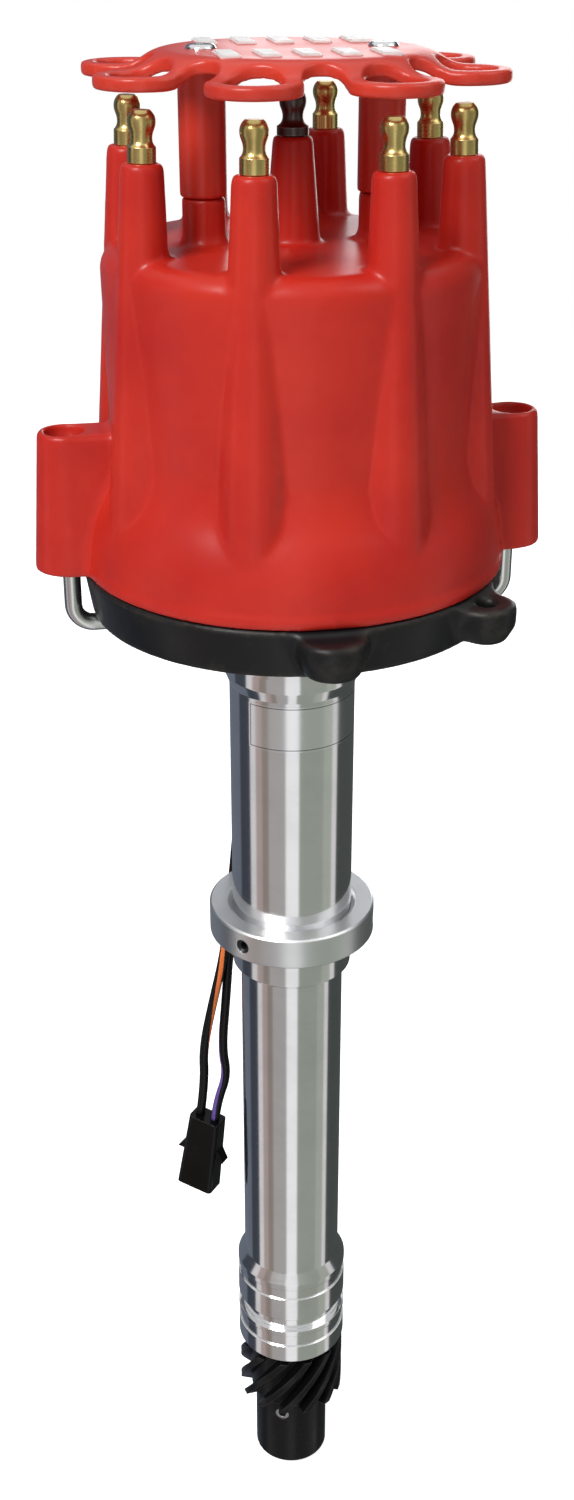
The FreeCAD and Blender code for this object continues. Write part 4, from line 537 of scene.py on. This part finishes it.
# Base ring. Cast, machined and painted black, and held to the housing's flange by three zinc
# plated screws. Handling has rubbed the paint thin along the edges of its two lugs.
def moulded_copy(name, grain, rounds, kept, material):
    """Stands in for a CAD node: the same solid, its sharp edges melted to a mould's soft radii."""
    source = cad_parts[name]
    rough = bpy.data.objects.new(name + "_rough", source.data.copy())
    bpy.context.collection.objects.link(rough)
    remesh = rough.modifiers.new("fine skin", "REMESH")
    remesh.mode = "VOXEL"
    remesh.voxel_size = grain
    soften = rough.modifiers.new("soft edges", "SMOOTH")
    soften.factor = 0.5
    soften.iterations = rounds
    lighten = rough.modifiers.new("fewer faces", "DECIMATE")
    lighten.ratio = kept
    bpy.context.view_layer.update()
    shaped = bpy.data.meshes.new_from_object(
        rough.evaluated_get(bpy.context.evaluated_depsgraph_get()))
    bpy.data.objects.remove(rough)
    shaped.materials.clear()
    shaped.materials.append(material)
    for face in shaped.polygons:
        face.use_smooth = True
    piece = bpy.data.objects.new("moulded_" + name, shaped)
    bpy.context.collection.objects.link(piece)
    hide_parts(name)
    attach(piece, "housing_assembly")
    return piece


base_paint = blackened_metal(
    "satin_black_base_paint", colour=(0.008, 0.008, 0.009), rubbed=(0.12, 0.095, 0.07),
    roughness=0.34, scuff_size=60.0, edge=0.0014, metallic=0.1, wear_share=0.6, gleam=0.3)
moulded_copy(
    "base_ring", grain=0.0006, rounds=14, kept=0.35, material=base_paint)
zinc_plate = turned_metal(
    "zinc_plated_steel", colour=(0.6, 0.61, 0.63), stain=(0.45, 0.42, 0.33), roughness=0.28,
    ring_pitch=1200.0)
for name in ("base_screws", "pickup_screws", "rotor_screws"):
    finish_node(name, zinc_plate)
finish_node("lead_grommet", moulded_plastic(
    "black_grommet_rubber", colour=(0.012, 0.012, 0.012), shade=(0.02, 0.02, 0.02), roughness=0.6,
    edge=0.0003))


# Pickup. A stamped plate carries the magnet pole and a coil wound on a black bobbin; the reluctor
# turns inside them with its eight pressed steel teeth.
finish_node("pickup_plate", turned_metal(
    "stamped_plate_steel", colour=(0.55, 0.55, 0.52), stain=(0.5, 0.42, 0.25), roughness=0.34,
    ring_pitch=1500.0))
finish_node("pickup_pole", turned_metal(
    "soft_iron_pole", colour=(0.36, 0.36, 0.37), stain=(0.2, 0.18, 0.16), roughness=0.38,
    ring_pitch=1300.0))
finish_node("pickup_coil", moulded_plastic(
    "black_bobbin_plastic", colour=(0.012, 0.012, 0.013), shade=(0.02, 0.02, 0.022),
    roughness=0.42, edge=0.0002))
finish_node("reluctor", turned_metal(
    "pressed_reluctor_steel", colour=(0.5, 0.5, 0.5), stain=(0.3, 0.28, 0.24), roughness=0.3,
    ring_pitch=1800.0))


# Centrifugal advance. A plate on its own sleeve, two stamped weights that swing on pins, and
# the cam that they turn against.
advance_steel = turned_metal(
    "plated_advance_steel", colour=(0.56, 0.55, 0.5), stain=(0.45, 0.38, 0.22), roughness=0.32,
    ring_pitch=1400.0)
for name in ("weight_carrier", "advance_weight_one", "advance_weight_two"):
    finish_node(name, advance_steel)
for name in ("weight_pins", "advance_cam"):
    finish_node(name, ground_steel)


# Rotor. Moulded in red plastic and screwed to the advance plate, with a brass blade on top
# that carries the spark from the carbon button to each terminal in turn.
finish_node("rotor", moulded_plastic(
    "red_rotor_plastic", colour=(0.6, 0.035, 0.02), shade=(0.5, 0.026, 0.016), roughness=0.36,
    edge=0.0004))
finish_node("rotor_blade", turned_metal(
    "sheet_brass_blade", colour=(0.62, 0.42, 0.16), stain=(0.35, 0.22, 0.1), roughness=0.28,
    ring_pitch=1500.0))


# Cap. One red glass filled moulding: a skirt, eight leaning towers with ribs that melt into the
# skirt, a centre tower, two posts for the retainer and an ear each side for the latches.
cap_red = moulded_plastic(
    "satin_red_cap_plastic", colour=(0.6, 0.03, 0.016), shade=(0.5, 0.018, 0.012), roughness=0.33,
    edge=None, mottle=40.0, grain=1100.0, grain_strength=0.1, spread=0.06, gleam=0.32)
moulded_copy("cap", grain=0.0007, rounds=7, kept=0.3, material=cap_red)


# Terminals. Turned brass studs stand in the towers, each with a waist for the spark lead's clip.
# The centre one has darkened. Under it a carbon button on a spring rubs on the rotor's blade.
terminal_brass = turned_metal(
    "turned_terminal_brass", colour=(0.64, 0.5, 0.2), stain=(0.38, 0.26, 0.08), roughness=0.27,
    ring_pitch=1400.0, stain_amount=0.6, spread=0.14, bright_edge=(0.8, 0.66, 0.34))
finish_node("cap_terminals", terminal_brass)
finish_node("centre_terminal", turned_metal(
    "darkened_terminal_steel", colour=(0.1, 0.085, 0.085), stain=(0.05, 0.035, 0.03),
    roughness=0.3, ring_pitch=1200.0, stain_amount=0.6, spread=0.1, bright_edge=(0.3, 0.28, 0.27)))
finish_node("carbon_button", moulded_plastic(
    "pressed_carbon", colour=(0.02, 0.02, 0.02), shade=(0.035, 0.035, 0.035), roughness=0.5,
    edge=0.0002))
spring_wire = turned_metal(
    "drawn_spring_wire", colour=(0.56, 0.56, 0.57), stain=(0.36, 0.35, 0.34), roughness=0.24,
    ring_pitch=1800.0)
finish_node("button_spring", spring_wire)


# Latches. A plated steel rod with a slotted head passes down through each ear of the cap and its
# spring, and hooks under the base ring. The spring's foot stays in the ear as the rod is pushed.
plated_rod = turned_metal(
    "plated_latch_rod", colour=(0.72, 0.72, 0.73), stain=(0.5, 0.48, 0.45), roughness=0.22,
    ring_pitch=1600.0)
for side in ("right", "left"):
    finish_node("latch_rod_" + side, plated_rod)
    finish_node("latch_washer_" + side, zinc_plate)
    spring_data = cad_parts["latch_spring_" + side].data.copy()
    spring_data.materials.clear()
    spring_data.materials.append(spring_wire)
    spring = bpy.data.objects.new("wound_latch_spring_" + side, spring_data)
    bpy.context.collection.objects.link(spring)
    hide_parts("latch_spring_" + side)
    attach(spring, side + "_latch_press")
    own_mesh(spring)


# Wire retainer. A flat red crown with eight loops that keep the spark leads apart, held on the
# cap's two posts by chrome screws. Two rows of plain white bars stand on its top.
retainer_red = moulded_plastic(
    "light_red_retainer_plastic", colour=(0.66, 0.045, 0.022), shade=(0.58, 0.034, 0.018),
    roughness=0.32, edge=None, mottle=60.0, grain=1100.0, grain_strength=0.1, spread=0.06,
    gleam=0.45)
moulded_copy(
    "wire_retainer", grain=0.0004, rounds=20, kept=0.3, material=retainer_red)
crown_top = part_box("wire_retainer")[1][2]
bar_size = Vector((0.0044, 0.013, 0.0012))
bar_pitch = 0.0086
bar_count = 5
bar_row = 0.016
bar_bevel = 0.0003
bar_mesh = bmesh.new()
for row in (-bar_row, bar_row):
    for index in range(bar_count):
        made = bmesh.ops.create_cube(bar_mesh, size=1)
        bmesh.ops.scale(bar_mesh, verts=made["verts"], vec=bar_size)
        middle = Vector(((index - (bar_count - 1) / 2) * bar_pitch, row, crown_top))
        bmesh.ops.translate(bar_mesh, verts=made["verts"], vec=middle)
bmesh.ops.bevel(bar_mesh, geom=bar_mesh.edges[:], offset=bar_bevel, segments=2, affect="EDGES")
bar_data = bpy.data.meshes.new("plain_bars")
bar_mesh.to_mesh(bar_data)
bar_mesh.free()
bar_data.materials.append(moulded_plastic(
    "white_bar_paint", colour=(0.9, 0.89, 0.87), shade=(0.75, 0.7, 0.68), roughness=0.4, edge=None,
    mottle=300.0, grain=1500.0))
bars = bpy.data.objects.new("plain_bars", bar_data)
bpy.context.collection.objects.link(bars)
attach(bars, "housing_assembly")
finish_node("retainer_screws", turned_metal(
    "chrome_plated_screw", colour=(0.8, 0.8, 0.81), stain=(0.6, 0.6, 0.6), roughness=0.12,
    ring_pitch=900.0))


# Connector. A two way housing in glossy black plastic with brass pins inside.
finish_node("lead_connector", moulded_plastic(
    "glossy_black_connector", colour=(0.002, 0.002, 0.0022), shade=(0.004, 0.004, 0.0042),
    roughness=0.12, edge=0.0006, gleam=0.2))
finish_node("connector_pins", turned_metal(
    "connector_pin_brass", colour=(0.6, 0.45, 0.2), stain=(0.4, 0.28, 0.1), roughness=0.25,
    ring_pitch=1500.0))


# Studio. A pale floor fades out into a white surround under three large soft lamps. Bright metal
# sees pale and dim panels in the surround instead, and mirrors them as upright streaks.
floor_radius = 1.6
floor_fade = 0.7
floor_gap = 0.0002
floor_lift = 0.8
floor_mesh = bmesh.new()
bmesh.ops.create_circle(floor_mesh, cap_ends=True, segments=96, radius=floor_radius)
floor_data = bpy.data.meshes.new("studio_floor")
floor_mesh.to_mesh(floor_data)
floor_mesh.free()
floor = bpy.data.objects.new("studio_floor", floor_data)
floor.location.z = gear_low[2] - floor_gap
bpy.context.collection.objects.link(floor)
floor_paint, floor_shader = shader_of(
    "white_floor", colour=(0.93, 0.93, 0.93), metallic=0.0, roughness=0.8)
floor_tree = floor_paint.node_tree
rays = put(floor_tree, "ShaderNodeLightPath")
floor_shader.inputs["Emission Color"].default_value = (1, 1, 1, 1)
lift = put(floor_tree, "ShaderNodeMath", {"operation": "MULTIPLY"},
           {0: rays.outputs["Is Camera Ray"], 1: floor_lift})
floor_tree.links.new(lift.outputs[0], floor_shader.inputs["Emission Strength"])
floor_place = put(floor_tree, "ShaderNodeTexCoord")
away = put(floor_tree, "ShaderNodeVectorMath", {"operation": "LENGTH"},
           {0: floor_place.outputs["Object"]})
fading = put(floor_tree, "ShaderNodeMapRange", {"interpolation_type": "SMOOTHSTEP"},
             {"Value": away.outputs["Value"], "From Min": floor_fade, "From Max": floor_radius})
clear = put(floor_tree, "ShaderNodeBsdfTransparent")
blended = put(floor_tree, "ShaderNodeMixShader", wires={0: fading.outputs[0],
                                                        1: floor_shader.outputs[0],
                                                        2: clear.outputs[0]})
floor_tree.links.new(blended.outputs[0], floor_tree.nodes["Material Output"].inputs["Surface"])
floor_data.materials.append(floor_paint)
floor.visible_glossy = False

world = bpy.data.worlds.new("white_surround")
world.use_nodes = True
bpy.context.scene.world = world
sky = world.node_tree
sky_light = sky.nodes["Background"]
towards = put(sky, "ShaderNodeTexCoord")
along = put(sky, "ShaderNodeSeparateXYZ", wires={0: towards.outputs["Generated"]})
bearing = put(sky, "ShaderNodeMath", {"operation": "ARCTAN2"},
              {0: along.outputs["Y"], 1: along.outputs["X"]})
panel_place = put(sky, "ShaderNodeMath", {"operation": "MULTIPLY_ADD"},
                  {0: bearing.outputs[0], 1: 1 / (2 * math.pi), 2: 0.5})
panels = put(sky, "ShaderNodeValToRGB", wires={0: panel_place.outputs[0]})
bright_wall = (1.0, 1.0, 1.0)
thin_light = (0.75, 0.73, 0.73)
pink_wall = (0.46, 0.37, 0.35)
brown_wall = (0.3, 0.255, 0.22)
pale_wall = (0.44, 0.42, 0.41)
green_wall = (0.34, 0.37, 0.32)
olive_wall = (0.42, 0.45, 0.39)
dark_wall = (0.07, 0.08, 0.075)
blue_wall = (0.15, 0.17, 0.21)
navy_wall = (0.055, 0.062, 0.08)
bright_ceiling = (0.92, 0.93, 0.92)
ceiling_start, ceiling_end = 0.5, 0.72
open_white = (1, 1, 1)
shade_grey = (0.22, 0.22, 0.235)
panel_plan = [(0.0, thin_light), (0.022, pink_wall), (0.06, brown_wall), (0.097, pale_wall),
              (0.188, bright_wall), (0.258, green_wall), (0.39, olive_wall), (0.445, thin_light),
              (0.478, dark_wall), (0.7, blue_wall), (0.905, navy_wall), (0.985, thin_light)]
panel_blur = 0.004
stops = [(0.0, thin_light)]
for (_, before), (where, after) in zip(panel_plan, panel_plan[1:]):
    stops += [(where - panel_blur, before), (where + panel_blur, after)]
for _ in stops[2:]:
    panels.color_ramp.elements.new(0.5)
for element, (where, colour) in zip(panels.color_ramp.elements, stops):
    element.position = where
    element.color = (*colour, 1)
overhead = put(sky, "ShaderNodeMapRange", {"interpolation_type": "SMOOTHSTEP"},
               {"Value": along.outputs["Z"], "From Min": ceiling_start,
                "From Max": ceiling_end})
walls = put(sky, "ShaderNodeMix", {"data_type": "RGBA"},
            {0: overhead.outputs[0], 6: panels.outputs[0], 7: (*bright_ceiling, 1)})
sky_rays = put(sky, "ShaderNodeLightPath")
plain = put(sky, "ShaderNodeMix", {"data_type": "RGBA"},
            {0: sky_rays.outputs["Is Diffuse Ray"], 6: (*open_white, 1), 7: (*shade_grey, 1)})
mirrored = put(sky, "ShaderNodeMix", {"data_type": "RGBA"},
               {0: sky_rays.outputs["Is Glossy Ray"], 6: plain.outputs[2],
                7: walls.outputs[2]})
sky.links.new(mirrored.outputs[2], sky_light.inputs["Color"])

lamp_plans = [
    ("key_lamp", (-0.95, -0.95, 1.6), 0.7, 29.0),
    ("fill_lamp", (1.1, -0.6, 1.5), 0.9, 4.0),
    ("back_lamp", (0.7, 1.5, 0.3), 1.0, 8.0),
]
lamp_aim = Vector((0, 0, (gear_low[2] + cad_box[1][2]) / 2))
for name, spot, size, power in lamp_plans:
    lamp_data = bpy.data.lights.new(name, "AREA")
    lamp_data.size = size
    lamp_data.energy = power
    lamp = bpy.data.objects.new(name, lamp_data)
    lamp.location = spot
    lamp.rotation_euler = (lamp_aim - Vector(spot)).to_track_quat("-Z", "Y").to_euler()
    lamp.visible_camera = False
    bpy.context.collection.objects.link(lamp)
